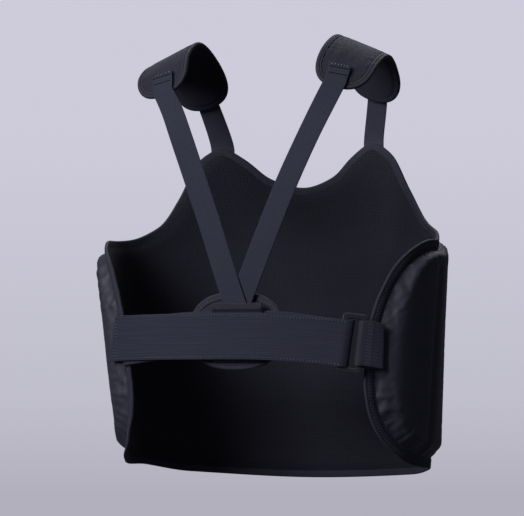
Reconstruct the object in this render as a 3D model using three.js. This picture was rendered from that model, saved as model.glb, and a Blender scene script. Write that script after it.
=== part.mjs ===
// A martial arts chest protector: a padded panel that wraps the front and both sides of the trunk,
// two shoulder pads, a V of elastic straps that ends on an oval back patch, and a wide waist strap
// that doubles back through a plastic ring. Millimetres, +Z up. The wearer faces -Y, and +X is the
// wearer's left. The origin lies midway between the shoulder pads, on the shoulders that carry them.

import * as THREE from 'three';

// Clearances: of pieces that lie flat on each other, of a strap on a shoulder pad, of layers on a
// curved face, and of tape on a rim.
const GAP = 0.3;
const STRAP_GAP = 0.85;
const LAYER_GAP = 1;
const TAPE_GAP = 0.95;

// Horizontal sections of the trunk inside the panel, from the upper chest down to the waist, with the
// half width to each side. As worn, the guard hangs a little askew, and its left side runs in more.
const TRUNK = [
  { z: -90, left: 198, right: 189, frontDepth: 93 },
  { z: -210, left: 193, right: 186, frontDepth: 119 },
  { z: -340, left: 178, right: 180, frontDepth: 118 },
  { z: -485, left: 161, right: 176, frontDepth: 112 },
];
const WING_DEPTH = 135;

// The wing behind each side is half of a squared ellipse. As worn, the left one rides a little higher.
const WING = { reach: 103, widestZ: -362, bottomZ: -463, squareness: 2.3 };
const WING_TOP = { left: -205, right: -212 };

// Edges of the front half, by girth from the centre line. The last row is at the side seam line.
const FRONT_TOP = [
  { girth: 0, z: -142 },
  { girth: 35, z: -131 },
  { girth: 60, z: -108 },
  { girth: 86, z: -93 },
  { girth: 112, z: -108 },
  { girth: 136, z: -150 },
  { girth: 165, z: -187 },
  { girth: 205, z: -203 },
];
const FRONT_BOTTOM = [
  { girth: 0, z: -481 },
  { girth: 150, z: -474 },
];

// The lined panel, the foam pad on it, and the tape folded round its edge.
const PANEL = { thickness: 4, edgeInset: 3 };
const CHEST_PAD = { margin: 12.5, rim: 1.5, height: 11.5, slope: 25 };
const EDGE_TAPE = { leg: 10, thickness: 1 };

// Centre line under the left shoulder pad, from its back end over the shoulder to its front end.
const SHOULDER_LINE = [
  { x: 103, y: 77, z: -52 },
  { x: 109, y: 54, z: -16 },
  { x: 111, y: 12, z: 1 },
  { x: 108, y: -30, z: -15 },
  { x: 102, y: -60, z: -50 },
];
const SHOULDER_PAD = { width: 67, endCap: 38, squareness: 2.5, tiltDegrees: 24 };
const SHOULDER_BODY = { rim: 4, height: 6.5, slope: 14 };
const SHOULDER_TAPE = { leg: 7, thickness: 1 };

// The oval patch on the spine.
const PATCH = { x: 1, y: 111.5, z: -314, halfWidth: 55.5, halfHeight: 42.5, squareness: 2.4 };
const PATCH_BODY = { bend: 0.0012, rim: 4, height: 7.5, slope: 14 };
const PATCH_TAPE = { leg: 8, thickness: 1 };

// Flat margin between a padded core's tape and the start of its foam.
const CORE_MARGIN = 2;

// The V straps: depth of the back under them, and the x of each strap's centre line, from the patch up.
// At the patch the left strap lies over the right one.
const BACK_ROUTE = [
  { z: -284, y: 120.3, left: -1, right: -6 },
  { z: -250, y: 119.5, left: 11.5, right: -19.5 },
  { z: -200, y: 117, left: 29.3, right: -39 },
  { z: -150, y: 111.5, left: 49, right: -58.5 },
  { z: -100, y: 101.5, left: 70.5, right: -79 },
  { z: -68, y: 91, left: 86, right: -92 },
];
const BACK_STRAP = { width: 25, thickness: 1.6, fold: 10, onPad: 25, overEdge: 4, inward: 4 };
const STRAP_LIFT = { left: 2.2, right: 0, length: 110 };
const FRONT_STRAP = { width: 25, thickness: 1.6, girth: 86, endZ: -104, onPad: 22, overEdge: 2 };

// The waist strap: both of its layers as seen from above, between the wing and the ring.
const BELT = { width: 50, thickness: 1.8, leanDegrees: 9 };
const BELT_INNER = [
  { x: 96, y: 110.4, z: -321 },
  { x: 60, y: 117.4, z: -318.5 },
  { x: 30, y: 120.6, z: -317.5 },
  { x: 0, y: 121.2, z: -317.5 },
  { x: -30, y: 120.6, z: -317.5 },
  { x: -62, y: 117.6, z: -319.5 },
  { x: -92, y: 111.0, z: -324 },
];
const BELT_OUTER = [
  { x: -92, y: 117.2, z: -325 },
  { x: -62, y: 122.4, z: -322.5 },
  { x: -30, y: 126.0, z: -320.5 },
  { x: 0, y: 126.6, z: -320 },
  { x: 30, y: 126.0, z: -320 },
  { x: 60, y: 122.0, z: -320 },
  { x: 96, y: 115.0, z: -320 },
];
const BELT_SEAM = { reach: 93, z: -326, edgeZ: -325 };
const BELT_END = { topReach: 90, bottomReach: 78, z: -320 };

// The belt loop, from its top hem down: what it lies on, and how far it is drawn in at its lower seam.
const BELT_LOOP = { x: -4, width: 58, thickness: 1.3 };
const LOOP_ROUTE = [
  { z: -284, on: 'straps', drawnIn: 0 },
  { z: -290.5, on: 'straps', drawnIn: 0 },
  { z: -293.5, on: 'belt', drawnIn: 0 },
  { z: -344, on: 'belt', drawnIn: 0 },
  { z: -346, on: 'patch', drawnIn: 0 },
  { z: -351, on: 'patch', drawnIn: 0.65 },
];

// The ring, the strap's fold through it, and the webbing tab that holds it on the right wing.
const RING = { x: -127.5, y: 103.7, z: -328, planDegrees: 202.5, leanDegrees: 7 };
const RING_BODY = { width: 27, height: 63.5, depth: 4, post: 6.5, bar: 5.5, bevel: 1 };
const RING_CORNER = { outside: 3, inside: 2 };
const BELT_FOLD = { along: 9, across: 4.1 };
const TAB = { width: 48, thickness: 1.4, reach: 86, z: -331, leanDegrees: 7, pastPost: 5 };
const TAB_FOLD = { along: 5, across: 4.4 };
const TAB_STEP = { under: 6, over: 4 };

// How finely the pieces are divided.
const GRID = {
  panel: { columns: 36, rows: 8 },
  chest: { columns: 36, rows: 12 },
  shoulder: { columns: 14, rows: 8 },
  patch: { columns: 12, rows: 8 },
};
const TAPE_STEPS = { panel: 104, shoulder: 36, patch: 32 };
const FOLD_STEPS = { pad: 6, post: 8 };
const BAND_STEPS = { back: 3, front: 4, belt: 3, tab: 2 };
const TRUNK_STEPS = { side: 120, back: 80 };

// Finishes.
const FINISH = {
  nylon: { color: 0x1d2028, roughness: 0.5, metalness: 0 },
  lining: { color: 0x17191f, roughness: 0.9, metalness: 0 },
  tape: { color: 0x15171c, roughness: 0.75, metalness: 0 },
  knit: { color: 0x23262d, roughness: 0.85, metalness: 0 },
  elastic: { color: 0x282b33, roughness: 0.8, metalness: 0 },
  webbing: { color: 0x1c1f25, roughness: 0.75, metalness: 0 },
  plastic: { color: 0x0e0f12, roughness: 0.35, metalness: 0 },
};

const UP = new THREE.Vector3(0, 0, 1);
const root = new THREE.Group();

// A smooth value through table rows, with no overshoot and flat at both ends.
function through(rows, at, value) {
  const slopes = rows.map((row, k) => {
    if (k === 0 || k === rows.length - 1) return 0;
    const before = (row[value] - rows[k - 1][value]) / (row[at] - rows[k - 1][at]);
    const after = (rows[k + 1][value] - row[value]) / (rows[k + 1][at] - row[at]);
    return before * after <= 0 ? 0 : (2 * before * after) / (before + after);
  });
  return (position) => {
    const first = rows[0][at];
    const last = rows[rows.length - 1][at];
    const p = THREE.MathUtils.clamp(position, Math.min(first, last), Math.max(first, last));
    let k = 0;
    while (k < rows.length - 2 && (p - rows[k + 1][at]) * (last - first) > 0) k += 1;
    const span = rows[k + 1][at] - rows[k][at];
    const t = (p - rows[k][at]) / span;
    const bend = slopes[k] * (1 - t) - slopes[k + 1] * t;
    const mix = t * t * (3 - 2 * t);
    return rows[k][value] * (1 - mix) + rows[k + 1][value] * mix + bend * span * t * (1 - t);
  };
}

// One quarter of a squared ellipse: its height over a distance from the middle.
function squaredArc(distance, reach, height, squareness) {
  const share = Math.min(1, Math.abs(distance) / reach);
  return height * (1 - share ** squareness) ** (1 / squareness);
}

// How a foam edge rises from its seam to its full height.
function foamRise(distance, slope) {
  const share = THREE.MathUtils.clamp(distance / slope, 0, 1);
  return 1.5 * share - 0.5 * share ** 3;
}

// A named piece in the group.
function addPiece(name, geometry, finish) {
  const mesh = new THREE.Mesh(geometry, new THREE.MeshStandardMaterial(finish));
  mesh.name = name;
  root.add(mesh);
  return mesh;
}

// The same piece on the other side of the body.
function addMirrored(name, geometry, finish) {
  addPiece(name, geometry, finish).scale.x = -1;
}

// A closed geometry from points and triangles, turned so that its faces point outwards.
function closedGeometry(points, triangles) {
  const volume = triangles.reduce((sum, [a, b, c]) => {
    const normal = new THREE.Vector3().crossVectors(points[b], points[c]);
    return sum + points[a].dot(normal);
  }, 0);
  const facing = volume < 0 ? triangles.map(([a, b, c]) => [a, c, b]) : triangles;
  const geometry = new THREE.BufferGeometry().setFromPoints(points);
  geometry.setIndex(facing.flat());
  geometry.computeVertexNormals();
  return geometry;
}

// A solid swept through sections of equal count, closed into a ring or capped at both ends.
function sweptSolid(sections, isRing) {
  const sides = sections[0].length;
  const points = sections.flat();
  const triangles = [];
  const steps = isRing ? sections.length : sections.length - 1;
  for (let s = 0; s < steps; s += 1) {
    const here = s * sides;
    const next = ((s + 1) % sections.length) * sides;
    for (let k = 0; k < sides; k += 1) {
      const after = (k + 1) % sides;
      triangles.push([here + k, here + after, next + after], [here + k, next + after, next + k]);
    }
  }
  if (!isRing) {
    const end = points.length - sides;
    for (let k = 1; k < sides - 1; k += 1) {
      triangles.push([0, k + 1, k], [end, end + k, end + k + 1]);
    }
  }
  return closedGeometry(points, triangles);
}

// A place along a strap: the two edges of its width there.
function crossing(centre, side, width) {
  const half = side.clone().multiplyScalar(width / 2);
  return { top: centre.clone().add(half), bottom: centre.clone().sub(half) };
}

// Crossings on smooth lines through a few given ones, with some steps from each to the next.
function smoothBand(crossings, steps) {
  const edge = (name) => new THREE.CatmullRomCurve3(crossings.map((c) => c[name]), false, 'centripetal')
    .getPoints(steps * (crossings.length - 1));
  const tops = edge('top');
  const bottoms = edge('bottom');
  return tops.map((top, k) => ({ top, bottom: bottoms[k] }));
}

// A flat strap through its crossings, half of its thickness on each side of them.
function strapSolid(crossings, thickness) {
  const centres = crossings.map(({ top, bottom }) => top.clone().lerp(bottom, 0.5));
  const sections = crossings.map(({ top, bottom }, k) => {
    const before = centres[Math.max(0, k - 1)];
    const after = centres[Math.min(centres.length - 1, k + 1)];
    const across = top.clone().sub(bottom);
    const normal = after.clone().sub(before).cross(across).normalize();
    const half = normal.multiplyScalar(thickness / 2);
    return [
      bottom.clone().sub(half),
      top.clone().sub(half),
      top.clone().add(half),
      bottom.clone().add(half),
    ];
  });
  return sweptSolid(sections, false);
}

// A cloth shape lies on a surface: place(u, v, lift) gives its points in space, u runs from -reach
// to reach, and v from lower(u) to upper(u). Its outline is worked out once.
function clothShape(place, reach, lower, upper) {
  const steps = 160;
  const outline = [];
  for (let k = 0; k < steps; k += 1) {
    const u = -reach * Math.cos((Math.PI * k) / steps);
    outline.push(new THREE.Vector2(u, upper(u)));
  }
  for (let k = 0; k < steps; k += 1) {
    const u = reach * Math.cos((Math.PI * k) / steps);
    outline.push(new THREE.Vector2(u, lower(u)));
  }
  return { place, reach, lower, upper, outline };
}

// The same shape drawn in from its edge by a margin, measured square to the edge.
function insetShape(shape, margin) {
  const steps = 24;
  const drawnIn = (edge, inward) => (u) => {
    let v = edge(u) + inward * margin;
    for (let k = -steps; k <= steps; k += 1) {
      const along = (margin * k) / steps;
      const near = u + along;
      if (Math.abs(near) <= shape.reach) {
        const reached = edge(near) + inward * Math.sqrt(margin * margin - along * along);
        v = inward > 0 ? Math.max(v, reached) : Math.min(v, reached);
      }
    }
    return v;
  };
  const reach = shape.reach - margin;
  return clothShape(shape.place, reach, drawnIn(shape.lower, 1), drawnIn(shape.upper, -1));
}

// Distance from a point of the shape to the nearest point of its outline.
function depthInside(shape, u, v) {
  const nearest = new THREE.Vector2();
  const point = new THREE.Vector2(u, v);
  let least = Infinity;
  shape.outline.forEach((a, k) => {
    const b = shape.outline[(k + 1) % shape.outline.length];
    const side = b.clone().sub(a);
    const share = side.lengthSq() > 0 ? point.clone().sub(a).dot(side) / side.lengthSq() : 0;
    nearest.copy(a).addScaledVector(side, THREE.MathUtils.clamp(share, 0, 1));
    least = Math.min(least, nearest.distanceTo(point));
  });
  return least;
}

// Where the columns of a shape's grid stand: closer together towards both ends.
function columnPlaces(reach, columns) {
  const blunt = 0.3;
  const crowding = 1.3;
  const places = [];
  for (let c = 0; c <= columns; c += 1) {
    const spread = (2 * c) / columns - 1;
    places.push((reach - blunt) * Math.sign(spread) * (1 - (1 - Math.abs(spread)) ** crowding));
  }
  return places;
}

// Both faces of a shape on one grid, finer towards its edge, joined round the rim.
function clothSolid(shape, { columns, rows }, backLift, frontLift) {
  const points = [];
  for (const u of columnPlaces(shape.reach, columns)) {
    for (let r = 0; r <= rows; r += 1) {
      const share = (1 - Math.cos((Math.PI * r) / rows)) / 2;
      const v = shape.lower(u) + (shape.upper(u) - shape.lower(u)) * share;
      const depth = depthInside(shape, u, v);
      points.push(shape.place(u, v, backLift(depth)), shape.place(u, v, frontLift(depth)));
    }
  }
  const at = (c, r, face) => 2 * (c * (rows + 1) + r) + face;
  const triangles = [];
  const quad = (a, b, c, d) => triangles.push([a, b, c], [a, c, d]);
  for (let c = 0; c < columns; c += 1) {
    const isFirstHalf = 2 * c < columns;
    for (let r = 0; r < rows; r += 1) {
      for (const face of [0, 1]) {
        const low = [at(c, r, face), at(c + 1, r, face)];
        const high = [at(c, r + 1, face), at(c + 1, r + 1, face)];
        const corners = isFirstHalf
          ? [low[1], high[1], high[0], low[0]]
          : [low[0], low[1], high[1], high[0]];
        quad(corners[0], corners[face ? 1 : 3], corners[2], corners[face ? 3 : 1]);
      }
    }
    quad(at(c, 0, 0), at(c + 1, 0, 0), at(c + 1, 0, 1), at(c, 0, 1));
    quad(at(c, rows, 1), at(c + 1, rows, 1), at(c + 1, rows, 0), at(c, rows, 0));
  }
  for (let r = 0; r < rows; r += 1) {
    quad(at(0, r, 0), at(0, r, 1), at(0, r + 1, 1), at(0, r + 1, 0));
    quad(at(columns, r, 1), at(columns, r, 0), at(columns, r + 1, 0), at(columns, r + 1, 1));
  }
  return closedGeometry(points, triangles);
}

// Tape folded round a shape's edge, with a leg on each face of a rim of the given thickness.
function tapeSolid(shape, steps, tape, rim) {
  const edge = new THREE.CatmullRomCurve3(shape.outline.map((p) => new THREE.Vector3(p.x, p.y, 0)), true);
  edge.arcLengthDivisions = 4 * shape.outline.length;
  const top = rim + TAPE_GAP;
  const profile = [
    { inward: tape.leg, lift: top },
    { inward: tape.leg, lift: top + tape.thickness },
    { inward: 0, lift: top + tape.thickness },
    { inward: 0, lift: -TAPE_GAP - tape.thickness },
    { inward: tape.leg, lift: -TAPE_GAP - tape.thickness },
    { inward: tape.leg, lift: -TAPE_GAP },
    { inward: tape.thickness, lift: -TAPE_GAP },
    { inward: tape.thickness, lift: top },
  ];
  const sections = [];
  for (let k = 0; k < steps; k += 1) {
    const point = edge.getPointAt(k / steps);
    const along = edge.getTangentAt(k / steps);
    sections.push(profile.map(({ inward, lift }) =>
      shape.place(point.x + along.y * inward, point.y - along.x * inward, lift)));
  }
  return sweptSolid(sections, true);
}

// The trunk's surface. Girth is measured along the section through the widest part of the wings.
const leftWidth = through(TRUNK, 'z', 'left');
const rightWidth = through(TRUNK, 'z', 'right');
const frontDepth = through(TRUNK, 'z', 'frontDepth');

function sectionPoint(angle, z, halfWidth) {
  const depth = angle < Math.PI / 2 ? frontDepth(z) : WING_DEPTH;
  return new THREE.Vector3(halfWidth * Math.sin(angle), -depth * Math.cos(angle), z);
}

const girthRows = [{ girth: 0, angle: 0 }];
const ANGLE_STEP = Math.PI / 2 / TRUNK_STEPS.side;
const MEAN_WIDTH = (leftWidth(WING.widestZ) + rightWidth(WING.widestZ)) / 2;
for (let k = 1; k <= TRUNK_STEPS.side + TRUNK_STEPS.back; k += 1) {
  const angle = k * ANGLE_STEP;
  const [from, to] = [angle - ANGLE_STEP, angle].map((a) => sectionPoint(a, WING.widestZ, MEAN_WIDTH));
  girthRows.push({ girth: girthRows[k - 1].girth + from.distanceTo(to), angle });
}
const SIDE_GIRTH = girthRows[TRUNK_STEPS.side].girth;

function angleAt(girth) {
  const next = girthRows.findIndex((row) => row.girth > girth);
  const before = girthRows[next - 1];
  const share = (girth - before.girth) / (girthRows[next].girth - before.girth);
  return before.angle + share * ANGLE_STEP;
}

function trunkPoint(girth, z) {
  const point = sectionPoint(angleAt(Math.abs(girth)), z, girth > 0 ? leftWidth(z) : rightWidth(z));
  point.x *= Math.sign(girth);
  return point;
}

function wrapPoint(girth, z, lift) {
  const round = trunkPoint(girth + 1, z).sub(trunkPoint(girth - 1, z));
  const upward = trunkPoint(girth, z + 1).sub(trunkPoint(girth, z - 1));
  return trunkPoint(girth, z).addScaledVector(round.cross(upward).normalize(), lift);
}

// The wrapped panel, its foam pad and its edge tape.
function halfEdge(frontRows, sideZ) {
  const frontEdge = through([...frontRows, { girth: SIDE_GIRTH, z: sideZ }], 'girth', 'z');
  return (girth) => {
    const behind = girth - SIDE_GIRTH;
    if (behind < 0) return frontEdge(girth);
    return WING.widestZ + squaredArc(behind, WING.reach, sideZ - WING.widestZ, WING.squareness);
  };
}

const leftTop = halfEdge(FRONT_TOP, WING_TOP.left);
const rightTop = halfEdge(FRONT_TOP, WING_TOP.right);
const bottomEdge = halfEdge(FRONT_BOTTOM, WING.bottomZ);
const wrapShape = clothShape(
  wrapPoint,
  SIDE_GIRTH + WING.reach,
  (girth) => bottomEdge(Math.abs(girth)),
  (girth) => (girth > 0 ? leftTop(girth) : rightTop(-girth)),
);
const panelShape = insetShape(wrapShape, PANEL.edgeInset);
const chestShape = insetShape(wrapShape, CHEST_PAD.margin);
const chestBack = PANEL.thickness + LAYER_GAP;
const chestLift = (depth) =>
  chestBack + CHEST_PAD.rim + (CHEST_PAD.height - CHEST_PAD.rim) * foamRise(depth, CHEST_PAD.slope);

addPiece('backing_panel', clothSolid(panelShape, GRID.panel, () => 0, () => PANEL.thickness), FINISH.lining);
addPiece('chest_pad', clothSolid(chestShape, GRID.chest, () => chestBack, chestLift), FINISH.nylon);
addPiece('edge_binding', tapeSolid(wrapShape, TAPE_STEPS.panel, EDGE_TAPE, PANEL.thickness), FINISH.tape);

// The shoulder pads. They lie along the shoulder line, tilted down towards the arm.
const shoulderLine = new THREE.CatmullRomCurve3(
  SHOULDER_LINE.map(({ x, y, z }) => new THREE.Vector3(x, y, z)),
  false,
  'centripetal',
);
const SHOULDER_REACH = shoulderLine.getLength() / 2;
const tilt = THREE.MathUtils.degToRad(SHOULDER_PAD.tiltDegrees);
const DOWN_ARM = new THREE.Vector3(Math.cos(tilt), 0, -Math.sin(tilt));

function shoulderPoint(along, across, lift) {
  const share = THREE.MathUtils.clamp(0.5 + along / (2 * SHOULDER_REACH), 0, 1);
  const forward = shoulderLine.getTangentAt(share);
  const side = DOWN_ARM.clone().addScaledVector(forward, -DOWN_ARM.dot(forward)).normalize();
  const outward = side.clone().cross(forward).negate();
  return shoulderLine.getPointAt(share).addScaledVector(side, across).addScaledVector(outward, lift);
}

function shoulderEdge(along) {
  const intoCap = Math.abs(along) - (SHOULDER_REACH - SHOULDER_PAD.endCap);
  const half = SHOULDER_PAD.width / 2;
  return squaredArc(Math.max(0, intoCap), SHOULDER_PAD.endCap, half, SHOULDER_PAD.squareness);
}

// A padded core rises only behind the leg of the tape on its edge.
function coreLift(body, tape) {
  const clear = tape.leg + CORE_MARGIN;
  return (depth) => body.rim + (body.height - body.rim) * foamRise(depth - clear, body.slope);
}

const shoulderShape = clothShape(shoulderPoint, SHOULDER_REACH, (u) => -shoulderEdge(u), shoulderEdge);
const shoulderCore = insetShape(shoulderShape, PANEL.edgeInset);
const shoulderLift = coreLift(SHOULDER_BODY, SHOULDER_TAPE);
const shoulderPad = clothSolid(shoulderCore, GRID.shoulder, () => 0, shoulderLift);
const shoulderTape = tapeSolid(shoulderShape, TAPE_STEPS.shoulder, SHOULDER_TAPE, SHOULDER_BODY.rim);
addPiece('shoulder_pad_left', shoulderPad, FINISH.knit);
addPiece('shoulder_binding_left', shoulderTape, FINISH.tape);
addMirrored('shoulder_pad_right', shoulderPad, FINISH.knit);
addMirrored('shoulder_binding_right', shoulderTape, FINISH.tape);

// The oval back patch.
function patchPoint(across, upward, lift) {
  const y = PATCH.y - PATCH_BODY.bend * across ** 2 + lift;
  return new THREE.Vector3(PATCH.x - across, y, PATCH.z + upward);
}

const patchEdge = (across) => squaredArc(across, PATCH.halfWidth, PATCH.halfHeight, PATCH.squareness);
const patchShape = clothShape(patchPoint, PATCH.halfWidth, (u) => -patchEdge(u), patchEdge);
const patchCore = insetShape(patchShape, PANEL.edgeInset);
const patchLift = coreLift(PATCH_BODY, PATCH_TAPE);
const patchTape = tapeSolid(patchShape, TAPE_STEPS.patch, PATCH_TAPE, PATCH_BODY.rim);
addPiece('back_patch', clothSolid(patchCore, GRID.patch, () => 0, patchLift), FINISH.knit);
addPiece('back_patch_binding', patchTape, FINISH.tape);

// A strap's crossing on the left shoulder pad, shifted towards the neck by a distance.
function padCrossing(along, inward, width, lift) {
  return {
    top: shoulderPoint(along, width / 2 - inward, lift),
    bottom: shoulderPoint(along, -width / 2 - inward, lift),
  };
}

// The end of a back strap: folded double on the pad, sewn down, and leaving over the pad's end.
function foldedOnPad() {
  const { thickness, width, fold, onPad, overEdge, inward } = BACK_STRAP;
  const tapeTop = SHOULDER_BODY.rim + TAPE_GAP + SHOULDER_TAPE.thickness;
  const apart = thickness + GAP;
  const start = -SHOULDER_REACH + onPad;
  const end = start - fold;
  const at = (along, lift) => padCrossing(along, inward, width, lift + thickness / 2);
  const restAt = (along) => STRAP_GAP + shoulderLift(depthInside(shoulderCore, along, -inward));
  const crossings = [at(end, restAt(end))];
  for (let k = 0; k <= FOLD_STEPS.pad; k += 1) {
    const turn = (Math.PI * k) / FOLD_STEPS.pad;
    const rise = (apart / 2) * (1 - Math.cos(turn));
    crossings.push(at(start + (apart / 2) * Math.sin(turn), restAt(start) + rise));
  }
  crossings.push(at(end, restAt(end) + apart), at(-SHOULDER_REACH + overEdge, tapeTop + LAYER_GAP + GAP));
  return crossings;
}

function mirrored({ top, bottom }) {
  return { top: top.setX(-top.x), bottom: bottom.setX(-bottom.x) };
}

// The V straps, from their folds on the pads down the back to the patch.
const backDepth = through(BACK_ROUTE, 'z', 'y');

function backStrap(name, onPad) {
  const { thickness, width } = BACK_STRAP;
  const patchZ = BACK_ROUTE[0].z;
  const last = onPad.at(-1);
  const route = BACK_ROUTE.map((row) => new THREE.Vector3(row[name], 0, row.z));
  const side = route[0].clone().sub(route.at(-1)).normalize().cross(new THREE.Vector3(0, 1, 0));
  if (side.dot(last.top.clone().sub(last.bottom)) < 0) side.negate();
  const down = [last];
  for (const centre of route.reverse()) {
    const across = crossing(centre, side, width);
    const nearness = THREE.MathUtils.smoothstep(-centre.z, -patchZ - STRAP_LIFT.length, -patchZ);
    const lift = STRAP_LIFT[name] * nearness;
    for (const edge of [across.top, across.bottom]) edge.y = backDepth(edge.z) + thickness / 2 + lift;
    down.push(across);
  }
  return strapSolid([...onPad.slice(0, -1), ...smoothBand(down, BAND_STEPS.back)], thickness);
}

addPiece('back_strap_left', backStrap('left', foldedOnPad()), FINISH.elastic);
addPiece('back_strap_right', backStrap('right', foldedOnPad().map(mirrored)), FINISH.elastic);

// The short straps at the front, from the tongues of the panel to the pads. Side is 1 on the left.
function frontStrap(side) {
  const { thickness, width, girth, endZ, onPad, overEdge } = FRONT_STRAP;
  const tapeTop = PANEL.thickness + TAPE_GAP + EDGE_TAPE.thickness + LAYER_GAP + thickness / 2;
  const padTop = SHOULDER_BODY.height + GAP + thickness / 2;
  const atPanel = (z) => ({
    top: wrapPoint(side * (girth + width / 2), z, tapeTop),
    bottom: wrapPoint(side * (girth - width / 2), z, tapeTop),
  });
  const atPad = (inset) => {
    const across = padCrossing(SHOULDER_REACH - inset, 0, width, padTop);
    return side > 0 ? across : mirrored(across);
  };
  const crossings = smoothBand([
    atPanel(endZ),
    atPanel(wrapShape.upper(side * girth) + overEdge),
    atPad(overEdge),
    atPad(onPad),
  ], BAND_STEPS.front);
  return strapSolid(crossings, thickness);
}

addPiece('front_strap_left', frontStrap(1), FINISH.webbing);
addPiece('front_strap_right', frontStrap(-1), FINISH.webbing);

// The ring stands across the strap: RING_RIGHT runs along the strap, RING_OUT away from the body.
const ringPlan = THREE.MathUtils.degToRad(RING.planDegrees);
const RING_RIGHT = new THREE.Vector3(Math.cos(ringPlan), Math.sin(ringPlan), 0);
const RING_OUT = new THREE.Vector3().crossVectors(RING_RIGHT, UP);
const RING_CENTRE = new THREE.Vector3(RING.x, RING.y, RING.z);

function roundedRectangle(path, width, height, radius) {
  const x = width / 2;
  const y = height / 2;
  path.moveTo(-x + radius, -y);
  path.lineTo(x - radius, -y).absarc(x - radius, -y + radius, radius, -Math.PI / 2, 0);
  path.lineTo(x, y - radius).absarc(x - radius, y - radius, radius, 0, Math.PI / 2);
  path.lineTo(-x + radius, y).absarc(-x + radius, y - radius, radius, Math.PI / 2, Math.PI);
  path.lineTo(-x, -y + radius).absarc(-x + radius, -y + radius, radius, Math.PI, 1.5 * Math.PI);
  return path;
}

function ringGeometry() {
  const { width, height, depth, post, bar, bevel } = RING_BODY;
  const outerWidth = width - 2 * bevel;
  const outerHeight = height - 2 * bevel;
  const slotWidth = width - 2 * post + 2 * bevel;
  const slotHeight = height - 2 * bar + 2 * bevel;
  const outer = roundedRectangle(new THREE.Shape(), outerWidth, outerHeight, RING_CORNER.outside);
  outer.holes.push(roundedRectangle(new THREE.Path(), slotWidth, slotHeight, RING_CORNER.inside));
  const geometry = new THREE.ExtrudeGeometry(outer, {
    depth: depth - 2 * bevel,
    bevelSize: bevel,
    bevelThickness: bevel,
    bevelSegments: 1,
    curveSegments: 3,
  });
  return geometry.translate(0, 0, bevel - depth / 2);
}

const buckle = addPiece('buckle', ringGeometry(), FINISH.plastic);
buckle.position.copy(RING_CENTRE);
buckle.setRotationFromMatrix(new THREE.Matrix4().makeBasis(RING_RIGHT, UP, RING_OUT));
buckle.rotateZ(-THREE.MathUtils.degToRad(RING.leanDegrees));

// A strap's turn round one post of the ring, from the body side to the outside.
function turnRoundPost(postSide, fold, strap) {
  const postReach = (RING_BODY.width - RING_BODY.post) / 2;
  const centre = RING_CENTRE.clone().addScaledVector(RING_RIGHT, postSide * postReach);
  const lean = Math.tan(THREE.MathUtils.degToRad(strap.leanDegrees));
  const side = UP.clone().addScaledVector(RING_RIGHT, lean);
  const crossings = [];
  for (let k = 0; k <= FOLD_STEPS.post; k += 1) {
    const turn = (Math.PI * k) / FOLD_STEPS.post;
    const point = centre.clone()
      .addScaledVector(RING_RIGHT, -postSide * fold.along * Math.sin(turn))
      .addScaledVector(RING_OUT, -fold.across * Math.cos(turn));
    crossings.push(crossing(point, side, strap.width));
  }
  return crossings;
}

// How high the edge tape or the pad stands at a place on a wing.
function wingHeight(girth, z) {
  const tapeTop = PANEL.thickness + TAPE_GAP + EDGE_TAPE.thickness;
  const isOnPad = girth < chestShape.reach && z < chestShape.upper(girth) && z > chestShape.lower(girth);
  return isOnPad ? Math.max(tapeTop, chestLift(depthInside(chestShape, girth, z))) : tapeTop;
}

// A strap's crossing on a wing, clear of what lies under it over its whole width.
function wingCrossing(wing, reach, z, strap, clearance) {
  const girth = SIDE_GIRTH + reach;
  const half = strap.width / 2;
  const lift = Math.max(...[z - half, z, z + half].map((v) => wingHeight(girth, v))) + clearance;
  return { top: wrapPoint(wing * girth, z + half, lift), bottom: wrapPoint(wing * girth, z - half, lift) };
}

// The waist strap's slanted end on the left wing, each corner clear of what lies under it.
function slantedEnd(clearance) {
  const corner = (reach, z) => {
    const girth = SIDE_GIRTH + reach;
    return wrapPoint(girth, z, wingHeight(girth, z) + clearance);
  };
  return {
    top: corner(BELT_END.topReach, BELT_END.z + BELT.width / 2),
    bottom: corner(BELT_END.bottomReach, BELT_END.z - BELT.width / 2),
  };
}

// The waist strap: from its seam on the left wing to the ring, round the post, and back outside.
function waistStrap() {
  const near = LAYER_GAP + BELT.thickness / 2;
  const far = near + LAYER_GAP + BELT.thickness;
  const free = ({ x, y, z }) => crossing(new THREE.Vector3(x, y, z), UP, BELT.width);
  const fold = turnRoundPost(-1, BELT_FOLD, BELT);
  const inner = [
    wingCrossing(1, BELT_SEAM.reach, BELT_SEAM.z, BELT, near),
    wingCrossing(1, WING.reach, BELT_SEAM.edgeZ, BELT, near),
    ...BELT_INNER.map(free),
    fold[0],
  ];
  const overEdge = wingCrossing(1, WING.reach, BELT_END.z, BELT, far);
  const outer = [fold.at(-1), ...BELT_OUTER.map(free), overEdge, slantedEnd(far)];
  const crossings = [
    ...smoothBand(inner, BAND_STEPS.belt),
    ...fold.slice(1, -1),
    ...smoothBand(outer, BAND_STEPS.belt),
  ];
  return strapSolid(crossings, BELT.thickness);
}

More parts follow.
